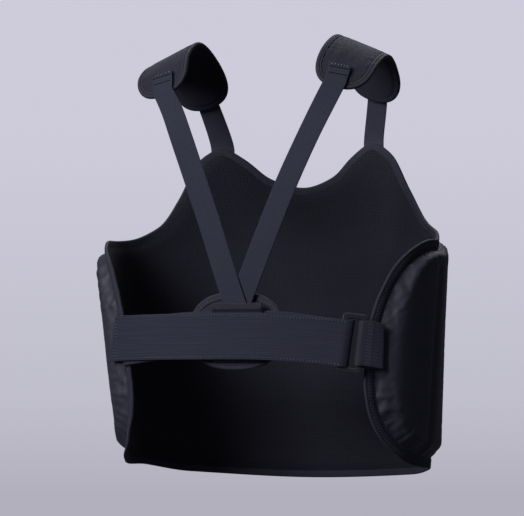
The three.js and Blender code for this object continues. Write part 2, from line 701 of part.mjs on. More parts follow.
// The tab: webbing doubled round the other post, both ends on the right wing.
function buckleTab() {
  const near = LAYER_GAP + TAB.thickness / 2;
  const far = near + LAYER_GAP + TAB.thickness;
  const onWing = (reach, clearance) => wingCrossing(-1, reach, TAB.z, TAB, clearance);
  const fold = turnRoundPost(1, TAB_FOLD, TAB);
  const reaches = [TAB.reach, TAB.reach + TAB_STEP.under, WING.reach - TAB_STEP.under, WING.reach];
  const under = [...reaches.map((reach) => onWing(reach, near)), fold[0]];
  const leaving = fold.at(-1);
  const pastRing = {
    top: leaving.top.clone().addScaledVector(RING_RIGHT, TAB.pastPost),
    bottom: leaving.bottom.clone().addScaledVector(RING_RIGHT, TAB.pastPost),
  };
  const over = [leaving, pastRing, onWing(TAB.reach + TAB_STEP.over, far), onWing(TAB.reach, far)];
  const crossings = [
    ...smoothBand(under, BAND_STEPS.tab),
    ...fold.slice(1, -1),
    ...smoothBand(over, BAND_STEPS.tab),
  ];
  return strapSolid(crossings, TAB.thickness);
}

// The belt loop: a strip sewn to the patch over the V straps' ends, and below the waist strap.
function beltLoop() {
  const half = BELT_LOOP.thickness / 2;
  const level = {
    straps: BACK_ROUTE[0].y + BACK_STRAP.thickness + STRAP_LIFT.left + GAP + half,
    belt: Math.max(...BELT_INNER.map((row) => row.y)) + BELT.thickness / 2 + GAP + half,
    patch: PATCH.y + PATCH_BODY.height + half,
  };
  const across = new THREE.Vector3(1, 0, 0);
  const crossings = LOOP_ROUTE.map(({ z, on, drawnIn }) => {
    const centre = new THREE.Vector3(BELT_LOOP.x, level[on] - drawnIn, z);
    return crossing(centre, across, BELT_LOOP.width);
  });
  return strapSolid(crossings, BELT_LOOP.thickness);
}

addPiece('waist_strap', waistStrap(), FINISH.elastic);
addPiece('buckle_tab', buckleTab(), FINISH.webbing);
addPiece('belt_loop', beltLoop(), FINISH.webbing);

export default root;
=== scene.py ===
# %% [markdown]
# # A padded chest guard for martial arts, as it is worn and seen from behind
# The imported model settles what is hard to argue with: how large each piece is and where it sits.
# This lesson gives every piece the look of what it is made of, which is satin nylon over foam,
# spacer mesh, brushed knit, ribbed elastic, woven tape and moulded plastic. Tables are in
# millimetres, as a pattern cutter writes them, and every object is in metres.

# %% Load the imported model
import math
import random

import bmesh
import bpy
import numpy as np
from mathutils import Matrix, Vector, noise


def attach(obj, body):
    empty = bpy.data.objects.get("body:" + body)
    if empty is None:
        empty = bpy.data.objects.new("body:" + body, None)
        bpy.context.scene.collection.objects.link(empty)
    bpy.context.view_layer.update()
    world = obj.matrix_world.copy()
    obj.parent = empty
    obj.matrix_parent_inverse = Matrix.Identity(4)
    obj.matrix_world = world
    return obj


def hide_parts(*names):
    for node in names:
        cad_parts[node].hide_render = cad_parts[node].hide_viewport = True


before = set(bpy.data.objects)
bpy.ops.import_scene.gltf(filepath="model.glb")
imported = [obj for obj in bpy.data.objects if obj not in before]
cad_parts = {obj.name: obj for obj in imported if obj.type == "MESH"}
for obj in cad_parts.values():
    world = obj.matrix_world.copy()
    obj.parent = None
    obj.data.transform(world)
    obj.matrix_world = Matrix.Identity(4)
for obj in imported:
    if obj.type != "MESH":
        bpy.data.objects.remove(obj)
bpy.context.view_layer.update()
MM = 0.001

# %% [markdown]
# ## The camera
# A product is photographed from a few steps back with a long lens, so that it keeps its proportions.
# Here the camera is 2.5 m away, 20 degrees round towards the guard's right side and a little below
# its middle, looking slightly up.

# %% Camera
CAMERA = {"place": (-855.05, 2349.23, -367.0), "target": (11.68, 4.25, -229.14), "lens": 151.97,
          "sensor": 36, "sees_metres": 200}


def aim(thing, place, target):
    """Puts a camera or a lamp somewhere and turns it to look at a point."""
    thing.location = Vector(place) * MM
    look = Vector(target) * MM - thing.location
    thing.rotation_euler = look.to_track_quat("-Z", "Y").to_euler()


def show(name, data):
    """A new object in the scene."""
    thing = bpy.data.objects.new(name, data)
    bpy.context.scene.collection.objects.link(thing)
    return thing


camera = show("camera", bpy.data.cameras.new("camera"))
camera.data.lens = CAMERA["lens"]
camera.data.sensor_width = CAMERA["sensor"]
camera.data.clip_end = CAMERA["sees_metres"]
aim(camera, CAMERA["place"], CAMERA["target"])
bpy.context.scene.camera = camera
print("camera distance in mm", round(camera.location.length / MM))

# %% [markdown]
# ## The studio
# A pale floor well below the guard and a pale lilac-grey paper all round stand for the studio. The
# guard is nearly black, so what shapes it is the light that slides over its folds: one broad soft
# lamp on the camera's left, and one above for the tops of the shoulder pads. A third one, behind the
# guard as the camera sees it, is there for a look at its front. Floor and paper only show to the
# camera, as real ones stand far off and would hardly light the guard either.

# %% Floor, surround and lamps
FLOOR_Z = -900
FLOOR_RADIUS, PAPER_RADIUS = 60, 90
ROOM_LIGHT = (0.078, 0.08, 0.105)
LAMP_COLOUR = (0.95, 0.955, 1.06)
LAMPS = [
    {"name": "broad_left", "place": (1200, 2400, 900), "size": 1.4, "watts": 108},
    {"name": "above", "place": (300, 300, 2100), "size": 1.8, "watts": 18},
    {"name": "front", "place": (300, -1700, 1900), "size": 1.6, "watts": 34},
]
LAMP_TARGET = (0, 0, -250)


def show_mesh(name, bm):
    mesh = bpy.data.meshes.new(name)
    bm.to_mesh(mesh)
    bm.free()
    return show(name, mesh)


disc, ball = bmesh.new(), bmesh.new()
bmesh.ops.create_circle(disc, cap_ends=True, segments=64, radius=FLOOR_RADIUS,
                        matrix=Matrix.Translation((0, 0, FLOOR_Z * MM)))
bmesh.ops.create_uvsphere(ball, u_segments=48, v_segments=24, radius=PAPER_RADIUS)
floor, paper = show_mesh("studio_floor", disc), show_mesh("studio_paper", ball)
for thing in (floor, paper):
    thing.visible_diffuse = thing.visible_glossy = thing.visible_shadow = False

world = bpy.data.worlds.new("room")
world.use_nodes = True
world.node_tree.nodes["Background"].inputs["Color"].default_value = (*ROOM_LIGHT, 1)
bpy.context.scene.world = world
bpy.context.scene.view_settings.view_transform = "Standard"
for lamp in LAMPS:
    light = bpy.data.lights.new(lamp["name"], "AREA")
    light.size, light.energy, light.color = lamp["size"], lamp["watts"], LAMP_COLOUR
    aim(show(lamp["name"], light), lamp["place"], LAMP_TARGET)
print("lamps", [lamp["name"] for lamp in LAMPS])

# %% [markdown]
# ## Shader sums that read like sums
# A finish is a formula over the cloth: ribs are a sine across it, mottling is a slow noise. Wiring
# that by hand takes dozens of Math nodes, so one small class wraps a socket. A plus, minus or times
# between two wires adds the Math node for it, and any other node comes from one method. A cloth is
# then a short recipe, which gives its colour, its roughness and its relief.

# %% Wires
class Wire:
    """A shader socket that takes part in Python sums."""

    def __init__(self, tree, socket=None):
        self.tree, self.socket = tree, socket

    def node(self, kind, settings, inputs, output=0):
        made = self.tree.nodes.new(kind)
        for name, value in settings.items():
            setattr(made, name, value)
        for name, value in inputs.items():
            if isinstance(value, Wire):
                self.tree.links.new(value.socket, made.inputs[name])
            else:
                made.inputs[name].default_value = value
        return Wire(self.tree, made.outputs[output])

    def sum(self, operation, *values):
        return self.node("ShaderNodeMath", {"operation": operation}, dict(enumerate(values)))

    def __add__(self, other):
        return self.sum("ADD", self, other)

    def __sub__(self, other):
        return self.sum("SUBTRACT", self, other)

    def __mul__(self, other):
        return self.sum("MULTIPLY", self, other)

    __radd__ = __add__
    __rmul__ = __mul__

    def __rsub__(self, other):
        return self.sum("SUBTRACT", other, self)

    def sine(self):
        return self.sum("SINE", self)

    def size(self):
        return self.sum("ABSOLUTE", self)

    def power(self, exponent):
        return self.sum("POWER", self, exponent)

    def between(self, low, high):
        """0 below low, 1 above high, and a straight ramp in between."""
        return self.node("ShaderNodeMapRange", {"clamp": True},
                         {"Value": self, "From Min": low, "From Max": high})

    def tint(self, dark, light):
        """A colour from dark to light by this wire's value."""
        return self.node("ShaderNodeMix", {"data_type": "RGBA"},
                         {0: self, 6: (*dark, 1), 7: (*light, 1)}, 2)

    def relief(self, strength, distance):
        """A Bump node's normal, with this wire as the height."""
        return self.node("ShaderNodeBump", {},
                         {"Strength": strength, "Distance": distance, "Height": self})

    def feed(self, shader, name):
        self.tree.links.new(self.socket, shader.inputs[name])


TURN = 2 * math.pi


def new_finish(name, **constants):
    """A material, its shader with the constants set, and a wire to start sums from."""
    material = bpy.data.materials.new(name)
    material.use_nodes = True
    shader = material.node_tree.nodes["Principled BSDF"]
    for socket, value in constants.items():
        shader.inputs[socket.replace("_", " ")].default_value = value
    return material, shader, Wire(material.node_tree)


def cloth_places(wire):
    """The place on the cloth in metres: the vector itself, along it, and across it."""
    place = wire.node("ShaderNodeUVMap", {"uv_map": "cloth"}, {})
    along = wire.node("ShaderNodeSeparateXYZ", {}, {"Vector": place}, 0)
    across = wire.node("ShaderNodeSeparateXYZ", {}, {"Vector": place}, 1)
    return place, along, across


def mottle(wire, place, per_metre, detail=3):
    """Slow uneven shade: noise with that many patches to the metre."""
    return wire.node("ShaderNodeTexNoise", {},
                     {"Vector": place, "Scale": per_metre, "Detail": detail})


def ribs(run, pitch_mm):
    """Even ribs of a pitch along a wire that runs in metres."""
    return (run * (TURN / (pitch_mm * MM))).sine()


def cloth_finish(name, recipe, gloss=0.25, sheen=(0.02, 0.45)):
    """A cloth, whose recipe(wire, place, along, across) gives its colour, roughness and relief."""
    material, shader, wire = new_finish(name, Specular_IOR_Level=gloss, Sheen_Weight=sheen[0],
                                        Sheen_Roughness=sheen[1])
    made = recipe(wire, *cloth_places(wire))
    for result, socket in zip(made, ("Base Color", "Roughness", "Normal")):
        result.feed(shader, socket)
    print("finish", name)
    return material


print("wires ready")

# %% [markdown]
# ## Satin nylon
# The cover of the foam pad is a tightly woven nylon. Its weave is far finer than a millimetre, so
# what one sees is a satin sheen that breaks up in faint crinkles. A plain weave is two sines
# multiplied, and two noises give the cloth its unevenness.

# %% Nylon
NYLON_WEAVE_MM = 0.9
NYLON_TONES = (0.011, 0.0114, 0.0175), (0.0179, 0.0185, 0.0278)


def nylon(wire, place, along, across):
    weave = ribs(along, NYLON_WEAVE_MM) * ribs(across, NYLON_WEAVE_MM)
    slow, crinkle = mottle(wire, place, 45), mottle(wire, place, 150, 4)
    colour = (slow * 0.7 + weave * 0.12 + crinkle * 0.25).between(0.2, 0.9).tint(*NYLON_TONES)
    height = crinkle * 1.2 + slow * 2.2 + weave * 0.22
    return colour, 0.5 + crinkle * 0.16, height.relief(0.3, 0.0006)


NYLON = cloth_finish("satin_nylon", nylon, gloss=0.42, sheen=(0.02, 0.4))

# %% [markdown]
# ## Spacer mesh
# The inside is an airy knit with rows of small holes, so that moisture can leave. Holes this small
# are a pattern and not geometry. A Voronoi texture with its points kept nearly on their grid gives
# round cells, and the middle of each cell becomes a dark hole.

# %% Lining
MESH_HOLES_PER_METRE = 470
HOLE_SCATTER = 0.22
LINING_TONES = (0.003, 0.0031, 0.0045), (0.0125, 0.013, 0.019)


def spacer_mesh(wire, place, along, across):
    cells = wire.node("ShaderNodeTexVoronoi", {"voronoi_dimensions": "2D"},
                      {"Vector": place, "Scale": MESH_HOLES_PER_METRE, "Randomness": HOLE_SCATTER})
    yarn, slow = cells.between(0.2, 0.42), mottle(wire, place, 24)
    colour = (yarn * (0.6 + slow * 0.7)).tint(*LINING_TONES)
    return colour, 0.95 - yarn * 0.15, (yarn * 0.6 + slow * 0.9).relief(0.5, 0.0005)


LINING = cloth_finish("spacer_mesh", spacer_mesh, gloss=0.15, sheen=(0.02, 0.5))

# %% [markdown]
# ## Binding tape, elastic and webbing
# All three come off a narrow loom, and differ in which threads stand out. Binding tape shows fine
# ribs across its length. Elastic shows ribs along it, because its rubber cores run that way, and the
# ribs vary a little from one to the next. Webbing shows the small slanted steps of a twill.

# %% Narrow cloths
TAPE_TONES = (0.0115, 0.012, 0.0185), (0.0185, 0.0192, 0.029)
ELASTIC_TONES = (0.0105, 0.0116, 0.0196), (0.0196, 0.0212, 0.034)
WEBBING_TONES = (0.0195, 0.0202, 0.0315), (0.0345, 0.0358, 0.054)
LOOP_TONES = (0.007, 0.0074, 0.012), (0.0135, 0.014, 0.0215)
TAPE_RIB_MM, PICK_MM = 1.1, 0.9
TWILL = {"step_mm": 1.5, "slant": 0.8, "row_mm": 1.2}
STREAKS_ACROSS_PER_METRE = 700
# How soft the ends of the painted shade at a turn round a ring are, and how dark it is
TURN_SHADE = {"edge_mm": 1.5, "shade": 0.3}


def tape(wire, place, along, across):
    rib, slow = ribs(along, TAPE_RIB_MM), mottle(wire, place, 70)
    colour = (slow * 0.8 + rib * 0.15).between(0.2, 0.8).tint(*TAPE_TONES)
    return colour, 0.62 + slow * 0.2, (rib * 0.35 + slow * 1.6).relief(0.4, 0.0005)


def elastic(rib_mm, depth, streaks_per_metre):
    """Ribbed elastic, whose rubber cores show as uneven streaks along it."""
    def recipe(wire, place, along, across):
        rib, picks = ribs(across, rib_mm), ribs(along, PICK_MM)
        stretched = wire.node("ShaderNodeMapping", {}, {
            "Vector": place, "Scale": (streaks_per_metre, STREAKS_ACROSS_PER_METRE, 1)})
        streaks, slow = mottle(wire, stretched, 1, 2), mottle(wire, place, 30)
        shade = (streaks * 0.75 + slow * 0.25 + rib * 0.06 * depth).between(0.25, 0.75)
        height = rib * depth + picks * 0.16 + streaks * 0.8 + slow * 0.8
        return shade.tint(*ELASTIC_TONES), 0.7 + slow * 0.2, height.relief(0.4, 0.0004)

    return recipe


def webbing(tones, shaded_turn=None):
    """Twill tape. Where it turns round a ring, from one length to another in mm, it gets painted shade.
    """
    def recipe(wire, place, along, across):
        twill = ribs(along + across * TWILL["slant"], TWILL["step_mm"])
        rows, slow = ribs(across, TWILL["row_mm"]), mottle(wire, place, 60)
        colour = (slow * 0.7 + twill * 0.18 + rows * 0.08).between(0.15, 0.85).tint(*tones)
        # Painted shade over the stretch that turns round the ring's post
        if shaded_turn:
            middle, reach = sum(shaded_turn) / 2, (shaded_turn[1] - shaded_turn[0]) / 2
            low, high = reach - TURN_SHADE["edge_mm"], reach + TURN_SHADE["edge_mm"]
            unshaded = (along - middle * MM).size().between(low * MM, high * MM)
            painted_shade = [TURN_SHADE["shade"] * tone for tone in tones[0]]
            colour = wire.node("ShaderNodeMix", {"data_type": "RGBA"},
                               {0: unshaded, 6: (*painted_shade, 1), 7: colour}, 2)
        height = twill * 0.5 + rows * 0.4 + slow * 0.8
        return colour, 0.62 + slow * 0.2, height.relief(0.4, 0.0004)

    return recipe


TAPE = cloth_finish("binding_tape", tape)
BELT_ELASTIC = cloth_finish("belt_elastic", gloss=0.2,
                            recipe=elastic(rib_mm=2.4, depth=0.3, streaks_per_metre=14))
STRAP_ELASTIC = cloth_finish("strap_elastic", gloss=0.2,
                             recipe=elastic(rib_mm=2.2, depth=0.2, streaks_per_metre=300))
WEBBING = cloth_finish("woven_webbing", webbing(WEBBING_TONES))
LOOP_WEBBING = cloth_finish("loop_webbing", webbing(LOOP_TONES))

# %% [markdown]
# ## Brushed knit, thread and plastic
# The shoulder pads and the back patch wear a smooth, slightly brushed knit that scatters light
# softly. The thread of the seams is a shade lighter than the cloth, and the needle's holes are
# given painted shade, which is why stitches read as rows of dots. The ring is moulded plastic
# with a faint grain.

# %% Knit, thread and plastic
KNIT_TONES = (0.0091, 0.0088, 0.0148), (0.015, 0.0145, 0.0238)
THREAD_TONES = (0.046, 0.048, 0.064), (0.088, 0.09, 0.114)
# Near-black tones of painted shade for the dips where the needle went in
HOLE_SHADE_TONES = (0.0015, 0.0015, 0.002), (0.0035, 0.0036, 0.005)
PLASTIC_TONES = (0.0072, 0.0074, 0.0105), (0.0105, 0.0108, 0.015)
KNIT_LOOP_MM = {"along": 0.8, "across": 1.0}
THREAD_PATCHES_PER_METRE = 300


def knit(wire, place, along, across):
    loops = ribs(along, KNIT_LOOP_MM["along"]) * ribs(across, KNIT_LOOP_MM["across"])
    fuzz, slow = mottle(wire, place, 420, 2), mottle(wire, place, 40)
    colour = (slow * 0.55 + fuzz * 0.45).between(0.25, 0.75).tint(*KNIT_TONES)
    height = loops * 0.18 + fuzz * 0.5 + slow * 1.2
    return colour, 0.78 + fuzz * 0.15, height.relief(0.35, 0.0005)


def object_place(wire):
    return wire.node("ShaderNodeTexCoord", {}, {}, "Object")


def thread_finish():
    material, shader, wire = new_finish("sewing_thread", Specular_IOR_Level=0.35, Sheen_Weight=0.1,
                                        Roughness=0.6)
    twist = mottle(wire, object_place(wire), THREAD_PATCHES_PER_METRE, 1).between(0.3, 0.7)
    twist.tint(*THREAD_TONES).feed(shader, "Base Color")
    return material


def hole_shade_finish():
    """Painted shade for the dark dip where a needle went in."""
    material, shader, wire = new_finish("needle_hole_shade", Specular_IOR_Level=0.1, Roughness=0.9)
    patches = mottle(wire, object_place(wire), THREAD_PATCHES_PER_METRE, 1)
    patches.tint(*HOLE_SHADE_TONES).feed(shader, "Base Color")
    return material


def plastic_finish():
    material, shader, wire = new_finish("moulded_plastic", Specular_IOR_Level=0.38)
    place = object_place(wire)
    grain, slow = mottle(wire, place, 1400, 2), mottle(wire, place, 90)
    slow.between(0.3, 0.7).tint(*PLASTIC_TONES).feed(shader, "Base Color")
    (0.42 + grain * 0.16).feed(shader, "Roughness")
    grain.relief(0.12, 0.0002).feed(shader, "Normal")
    return material


KNIT = cloth_finish("brushed_knit", knit, gloss=0.2, sheen=(0.05, 0.5))
THREAD, HOLE_SHADE, PLASTIC = thread_finish(), hole_shade_finish(), plastic_finish()
print("finishes", THREAD.name, HOLE_SHADE.name, PLASTIC.name)

# %% [markdown]
# ## Paper for the studio
# Floor and surround are paper with an even glow of their own, so no lamp has to be aimed at them. The
# surround pales upwards. On a floor, a tone that follows one over the distance is what a level camera
# sees as an even run, so the floor meets the surround without a line.

# %% Paper
PAPER_HIGH, PAPER_LOW, PAPER_NEAR = (0.60, 0.585, 0.68), (0.51, 0.50, 0.575), (0.42, 0.41, 0.475)
PAPER_UNLIT = (0.2, 0.2, 0.22)
WALL_RUN, FLOOR_RUN = (-1, 10), (0.015, 0.13)


def paper_finish(name, run_of, low, high, tones):
    """Glowing paper whose tone runs from low to high along run_of(place)."""
    material, shader, wire = new_finish(name, Specular_IOR_Level=0, Roughness=1,
                                        Emission_Strength=1, Base_Color=(*PAPER_UNLIT, 1))
    run_of(object_place(wire)).between(low, high).tint(*tones).feed(shader, "Emission Color")
    return material


def height_above(place):
    return place.node("ShaderNodeSeparateXYZ", {}, {"Vector": place}, 2)


def one_over_distance(place):
    far = place.node("ShaderNodeVectorMath", {"operation": "LENGTH"}, {0: place}, "Value")
    return far.power(-1)


floor.data.materials.append(
    paper_finish("floor_paper", one_over_distance, *FLOOR_RUN, (PAPER_LOW, PAPER_NEAR)))
paper.data.materials.append(
    paper_finish("wall_paper", height_above, *WALL_RUN, (PAPER_LOW, PAPER_HIGH)))
print("papers", [thing.data.materials[0].name for thing in (floor, paper)])

# %% [markdown]
# ## The form that the panel wraps
# The padded panel goes round the front and both sides, so its pattern is drawn flat and then laid
# round a form, as on a dressmaker's stand. A place on the form is a girth, measured from the middle of
# the front round to one side, and a height. Few rows of a table give each section's width and depth,
# and a smooth curve fills the rest.
# As it is worn the guard hangs a little askew, so the left and the right width differ.

# %% Curves and lines
def through(rows, at, value):
    """A smooth value through table rows, with no overshoot and flat at both ends."""
    rows = sorted(rows, key=lambda row: row[at])
    x = np.array([row[at] for row in rows], float)
    y = np.array([row[value] for row in rows], float)
    rise = np.diff(y) / np.diff(x)
    slope = np.zeros(len(x))
    for k in range(1, len(x) - 1):
        if rise[k - 1] * rise[k] > 0:
            slope[k] = 2 * rise[k - 1] * rise[k] / (rise[k - 1] + rise[k])

    def value_at(place):
        p = np.clip(place, x[0], x[-1])
        k = np.clip(np.searchsorted(x, p) - 1, 0, len(x) - 2)
        span = x[k + 1] - x[k]
        t = (p - x[k]) / span
        mix = t * t * (3 - 2 * t)
        bend = slope[k] * (1 - t) - slope[k + 1] * t
        return y[k] * (1 - mix) + y[k + 1] * mix + bend * span * t * (1 - t)

    return value_at


def lengths_along(points):
    """How far along a line each of its points lies."""
    return np.concatenate([[0], np.cumsum(np.linalg.norm(np.diff(points, axis=0), axis=1))])


def places_at(far, arc, points):
    """The places on a line at some lengths along it, where arc is its lengths_along."""
    return np.stack([np.interp(far, arc, column) for column in points.T], -1)


def unit(vectors):
    return vectors / np.linalg.norm(vectors, axis=-1, keepdims=True)


def same_shape(*values):
    return np.broadcast_arrays(*(np.asarray(value, float) for value in values))


ramp = through([{"at": 0, "height": 0}, {"at": 2, "height": 10}], "at", "height")
print("half way up a ramp of 10:", float(ramp(1)))

# %% The form
FORM = [
    {"z": -90, "left": 198, "right": 189, "front_depth": 93},
    {"z": -210, "left": 193, "right": 186, "front_depth": 119},
    {"z": -340, "left": 178, "right": 180, "front_depth": 118},
    {"z": -485, "left": 161, "right": 176, "front_depth": 112},
]
WING_DEPTH = 135
WING = {"reach": 103, "widest_z": -362, "bottom_z": -463, "squareness": 2.3}
SIDE_STEPS, BACK_STEPS = 120, 80
left_width, right_width = through(FORM, "z", "left"), through(FORM, "z", "right")
front_depth = through(FORM, "z", "front_depth")


def section_point(angle, z, half_width):
    depth = np.where(angle < math.pi / 2, front_depth(z), WING_DEPTH)
    return np.stack([half_width * np.sin(angle), -depth * np.cos(angle), z + 0 * angle], -1)


ANGLES = np.arange(SIDE_STEPS + BACK_STEPS + 1) * (math.pi / 2 / SIDE_STEPS)
widest_z = np.full(len(ANGLES), float(WING["widest_z"]))
widest = section_point(ANGLES, widest_z, (left_width(widest_z) + right_width(widest_z)) / 2)
GIRTHS = lengths_along(widest)
SIDE_GIRTH = float(GIRTHS[SIDE_STEPS])


def form_point(girth, z):
    half_width = np.where(girth > 0, left_width(z), right_width(z))
    point = section_point(np.interp(np.abs(girth), GIRTHS, ANGLES), z, half_width)
    point[..., 0] *= np.sign(girth)
    return point


def wrap_point(girth, z, lift):
    """A place on the wrapped panel in metres, lifted square to the form."""
    girth, z, lift = same_shape(girth, z, lift)
    around = form_point(girth + 1, z) - form_point(girth - 1, z)
    upward = form_point(girth, z + 1) - form_point(girth, z - 1)
    out = unit(np.cross(around, upward))
    return (form_point(girth, z) + out * lift[..., None]) * MM


print("half girth to the side seam in mm", round(SIDE_GIRTH))

# %% [markdown]
# ## A cut of cloth
# Every soft flat piece here starts as a cut: an outline on a surface, with a lower and an upper edge
# at each place along it. A seam allowance is the same outline drawn in, measured square to the edge,
# and puckers and foam edges depend only on how far a place lies from that outline.

# %% Cuts
OUTLINE_STEPS = 160
INSET_STEPS = 24


class Cut:
    """A cloth shape: u from -reach to reach, v from lower(u) to upper(u), laid by place(u, v, lift)."""

    def __init__(self, place, reach, lower, upper):
        self.place, self.reach, self.lower, self.upper = place, reach, lower, upper
        u = -reach * np.cos(math.pi * np.arange(OUTLINE_STEPS) / OUTLINE_STEPS)
        self.outline = np.concatenate([np.stack([u, upper(u)], -1), np.stack([-u, lower(-u)], -1)])
        self.sides = np.roll(self.outline, -1, 0) - self.outline
        self.lengths = np.linalg.norm(self.sides, axis=1)
        self.arcs = np.concatenate([[0], np.cumsum(self.lengths)])

    def inset(self, margin):
        def drawn_in(edge, inward):
            def line(u):
                v = edge(u) + inward * margin
                for k in range(-INSET_STEPS, INSET_STEPS + 1):
                    along = margin * k / INSET_STEPS
                    reached = edge(u + along) + inward * math.sqrt(margin**2 - along**2)
                    further = np.maximum(v, reached) if inward > 0 else np.minimum(v, reached)
                    v = np.where(np.abs(u + along) <= self.reach, further, v)
                return v
            return line
        return Cut(self.place, self.reach - margin,
                   drawn_in(self.lower, 1), drawn_in(self.upper, -1))

    def holds(self, points):
        u, v = points[:, 0], points[:, 1]
        near = np.clip(u, -self.reach, self.reach)
        return (np.abs(u) < self.reach) & (v > self.lower(near)) & (v < self.upper(near))

    def nearest(self, points):
        """How far each point is from the outline, how far along it that is, and the place there."""
        depth = np.full(len(points), np.inf)
        arc = np.zeros(len(points))
        spot = np.zeros((len(points), 2))
        for k, (start, side) in enumerate(zip(self.outline, self.sides)):
            share = np.clip((points - start) @ side / max(self.lengths[k]**2, 1e-9), 0, 1)
            there = start + share[:, None] * side
            far = np.linalg.norm(points - there, axis=1)
            closer = far < depth
            depth[closer], spot[closer] = far[closer], there[closer]
            arc[closer] = self.arcs[k] + share[closer] * self.lengths[k]
        return depth, arc, spot

    def edge_walk(self, step):
        """Places along the outline at even steps, and the direction of the outline there."""
        count = round(self.arcs[-1] / step)
        at = np.arange(count) * self.arcs[-1] / count
        closed = np.concatenate([self.outline, self.outline[:1]])
        spots = places_at(at, self.arcs, closed)
        for _ in range(2):
            spots = (np.roll(spots, 1, 0) + 2 * spots + np.roll(spots, -1, 0)) / 4
        return at, spots, unit(np.roll(spots, -1, 0) - np.roll(spots, 1, 0))


def squared_arc(distance, reach, height, squareness):
    """One quarter of a squared ellipse: its height over a distance from the middle."""
    share = np.minimum(1, np.abs(distance) / reach)
    return height * (1 - share**squareness)**(1 / squareness)


print("half way along a round corner of 10:", round(float(squared_arc(5, 10, 10, 2)), 2))

# %% [markdown]
# ## The pattern of the wrapped panel
# In front the panel is cut low in the middle and rises in two tongues to the shoulder straps. At the
# sides it drops, and behind each side it ends in a rounded wing. As it is worn, the left wing rides a
# little higher than the right one.

# %% Panel pattern
WING_TOP = {"left": -205, "right": -212}
FRONT_TOP = [
    {"girth": 0, "z": -142}, {"girth": 35, "z": -131}, {"girth": 60, "z": -108},
    {"girth": 86, "z": -93}, {"girth": 112, "z": -108}, {"girth": 136, "z": -150},
    {"girth": 165, "z": -187}, {"girth": 205, "z": -203},
]
FRONT_BOTTOM = [{"girth": 0, "z": -481}, {"girth": 150, "z": -474}]
PANEL = {"thickness": 4, "edge_inset": 3}
CHEST_PAD = {"margin": 12.5, "rim": 1.5, "height": 11.5, "slope": 25}
EDGE_TAPE = {"leg": 10, "thickness": 1}
LAYER_GAP, TAPE_GAP = 1, 0.95


def half_edge(front_rows, side_z):
    front = through([*front_rows, {"girth": SIDE_GIRTH, "z": side_z}], "girth", "z")

    def edge(girth):
        behind = np.maximum(girth - SIDE_GIRTH, 0)
        rise = squared_arc(behind, WING["reach"], side_z - WING["widest_z"], WING["squareness"])
        return np.where(girth < SIDE_GIRTH, front(girth), WING["widest_z"] + rise)

    return edge


left_top = half_edge(FRONT_TOP, WING_TOP["left"])
right_top = half_edge(FRONT_TOP, WING_TOP["right"])
bottom_edge = half_edge(FRONT_BOTTOM, WING["bottom_z"])
wrap_cut = Cut(wrap_point, SIDE_GIRTH + WING["reach"],
               lambda u: bottom_edge(np.abs(u)),
               lambda u: np.where(u > 0, left_top(np.abs(u)), right_top(np.abs(u))))
panel_cut = wrap_cut.inset(PANEL["edge_inset"])
chest_cut = wrap_cut.inset(CHEST_PAD["margin"])
print("edge of the panel in mm", round(wrap_cut.arcs[-1]))

# %% [markdown]
# ## From a cut to a mesh
# A grid of small squares is cut out along the pattern and its rim moved onto the outline, which
# gives even squares everywhere. Even squares matter, because a cloth solver folds along its mesh.
# The flat place of each point is kept, for the weave and for laying the cloth on its surface.

# %% Grids cut to a pattern
RIM_EASE = {"squares": 2.5, "rounds": 4}


def cut_grid(cut, spacing):
    """A flat bmesh of squares cut to the pattern, in mm, with its flat places kept."""
    low, high = cut.outline.min(0), cut.outline.max(0)
    size, middle = high - low, (high + low) / 2
    bm = bmesh.new()
    spread = Matrix.Translation((*middle, 0)) @ Matrix.Diagonal((size[0] / 2, size[1] / 2, 1, 1))
    bmesh.ops.create_grid(bm, x_segments=round(size[0] / spacing), matrix=spread,
                          y_segments=round(size[1] / spacing), size=1)
    centres = np.array([face.calc_center_median()[:2] for face in bm.faces])
    outside = [face for face, kept in zip(bm.faces, cut.holds(centres)) if not kept]
    bmesh.ops.delete(bm, geom=outside, context="FACES")
    rim = [v for v in bm.verts if v.is_boundary]
    for vert, spot in zip(rim, cut.nearest(np.array([v.co[:2] for v in rim]))[2]):
        vert.co.xy = spot
    inner = [v for v in bm.verts if not v.is_boundary]
    depth = cut.nearest(np.array([v.co[:2] for v in inner]))[0]
    loose = [v for v, d in zip(inner, depth) if d < RIM_EASE["squares"] * spacing]
    for _ in range(RIM_EASE["rounds"]):
        bmesh.ops.smooth_vert(bm, verts=loose, factor=0.5, use_axis_x=True, use_axis_y=True)
    along, across = (bm.verts.layers.float.new(name) for name in ("flat_u", "flat_v"))
    cloth = bm.loops.layers.uv.new("cloth")
    for vert in bm.verts:
        vert[along], vert[across] = vert.co.x, vert.co.y
    for face in bm.faces:
        face.smooth = True
        for loop in face.loops:
            loop[cloth].uv = loop.vert.co.xy * MM
    return bm


def flat_places(bm, verts=None):
    """Where points, or all of them, lie on the flat pattern."""
    along, across = (bm.verts.layers.float[name] for name in ("flat_u", "flat_v"))
    return np.array([(v[along], v[across]) for v in verts or bm.verts])


print("the rim of a cut is eased over", RIM_EASE["squares"], "squares")

# %% From a grid to a piece
def lay(verts, places):
    for vert, place in zip(verts, places):
        vert.co = place


def close_below(bm, place_of):
    """Gives an open cover its underside: a copy of it, moved to place_of(u, v), and joining walls,
    whose edges are shaded sharp."""
    made = bmesh.ops.extrude_face_region(bm, geom=bm.faces[:])["geom"]
    under = [e for e in made if isinstance(e, bmesh.types.BMVert)]
    lay(under, place_of(*flat_places(bm, under).T))
    bmesh.ops.recalc_face_normals(bm, faces=bm.faces[:])
    below = set(under)
    for edge in bm.edges:
        edge.smooth = all(len(below.intersection(face.verts)) in (0, len(face.verts))
                          for face in edge.link_faces)
    return [face for face in bm.faces if below.issuperset(face.verts)]


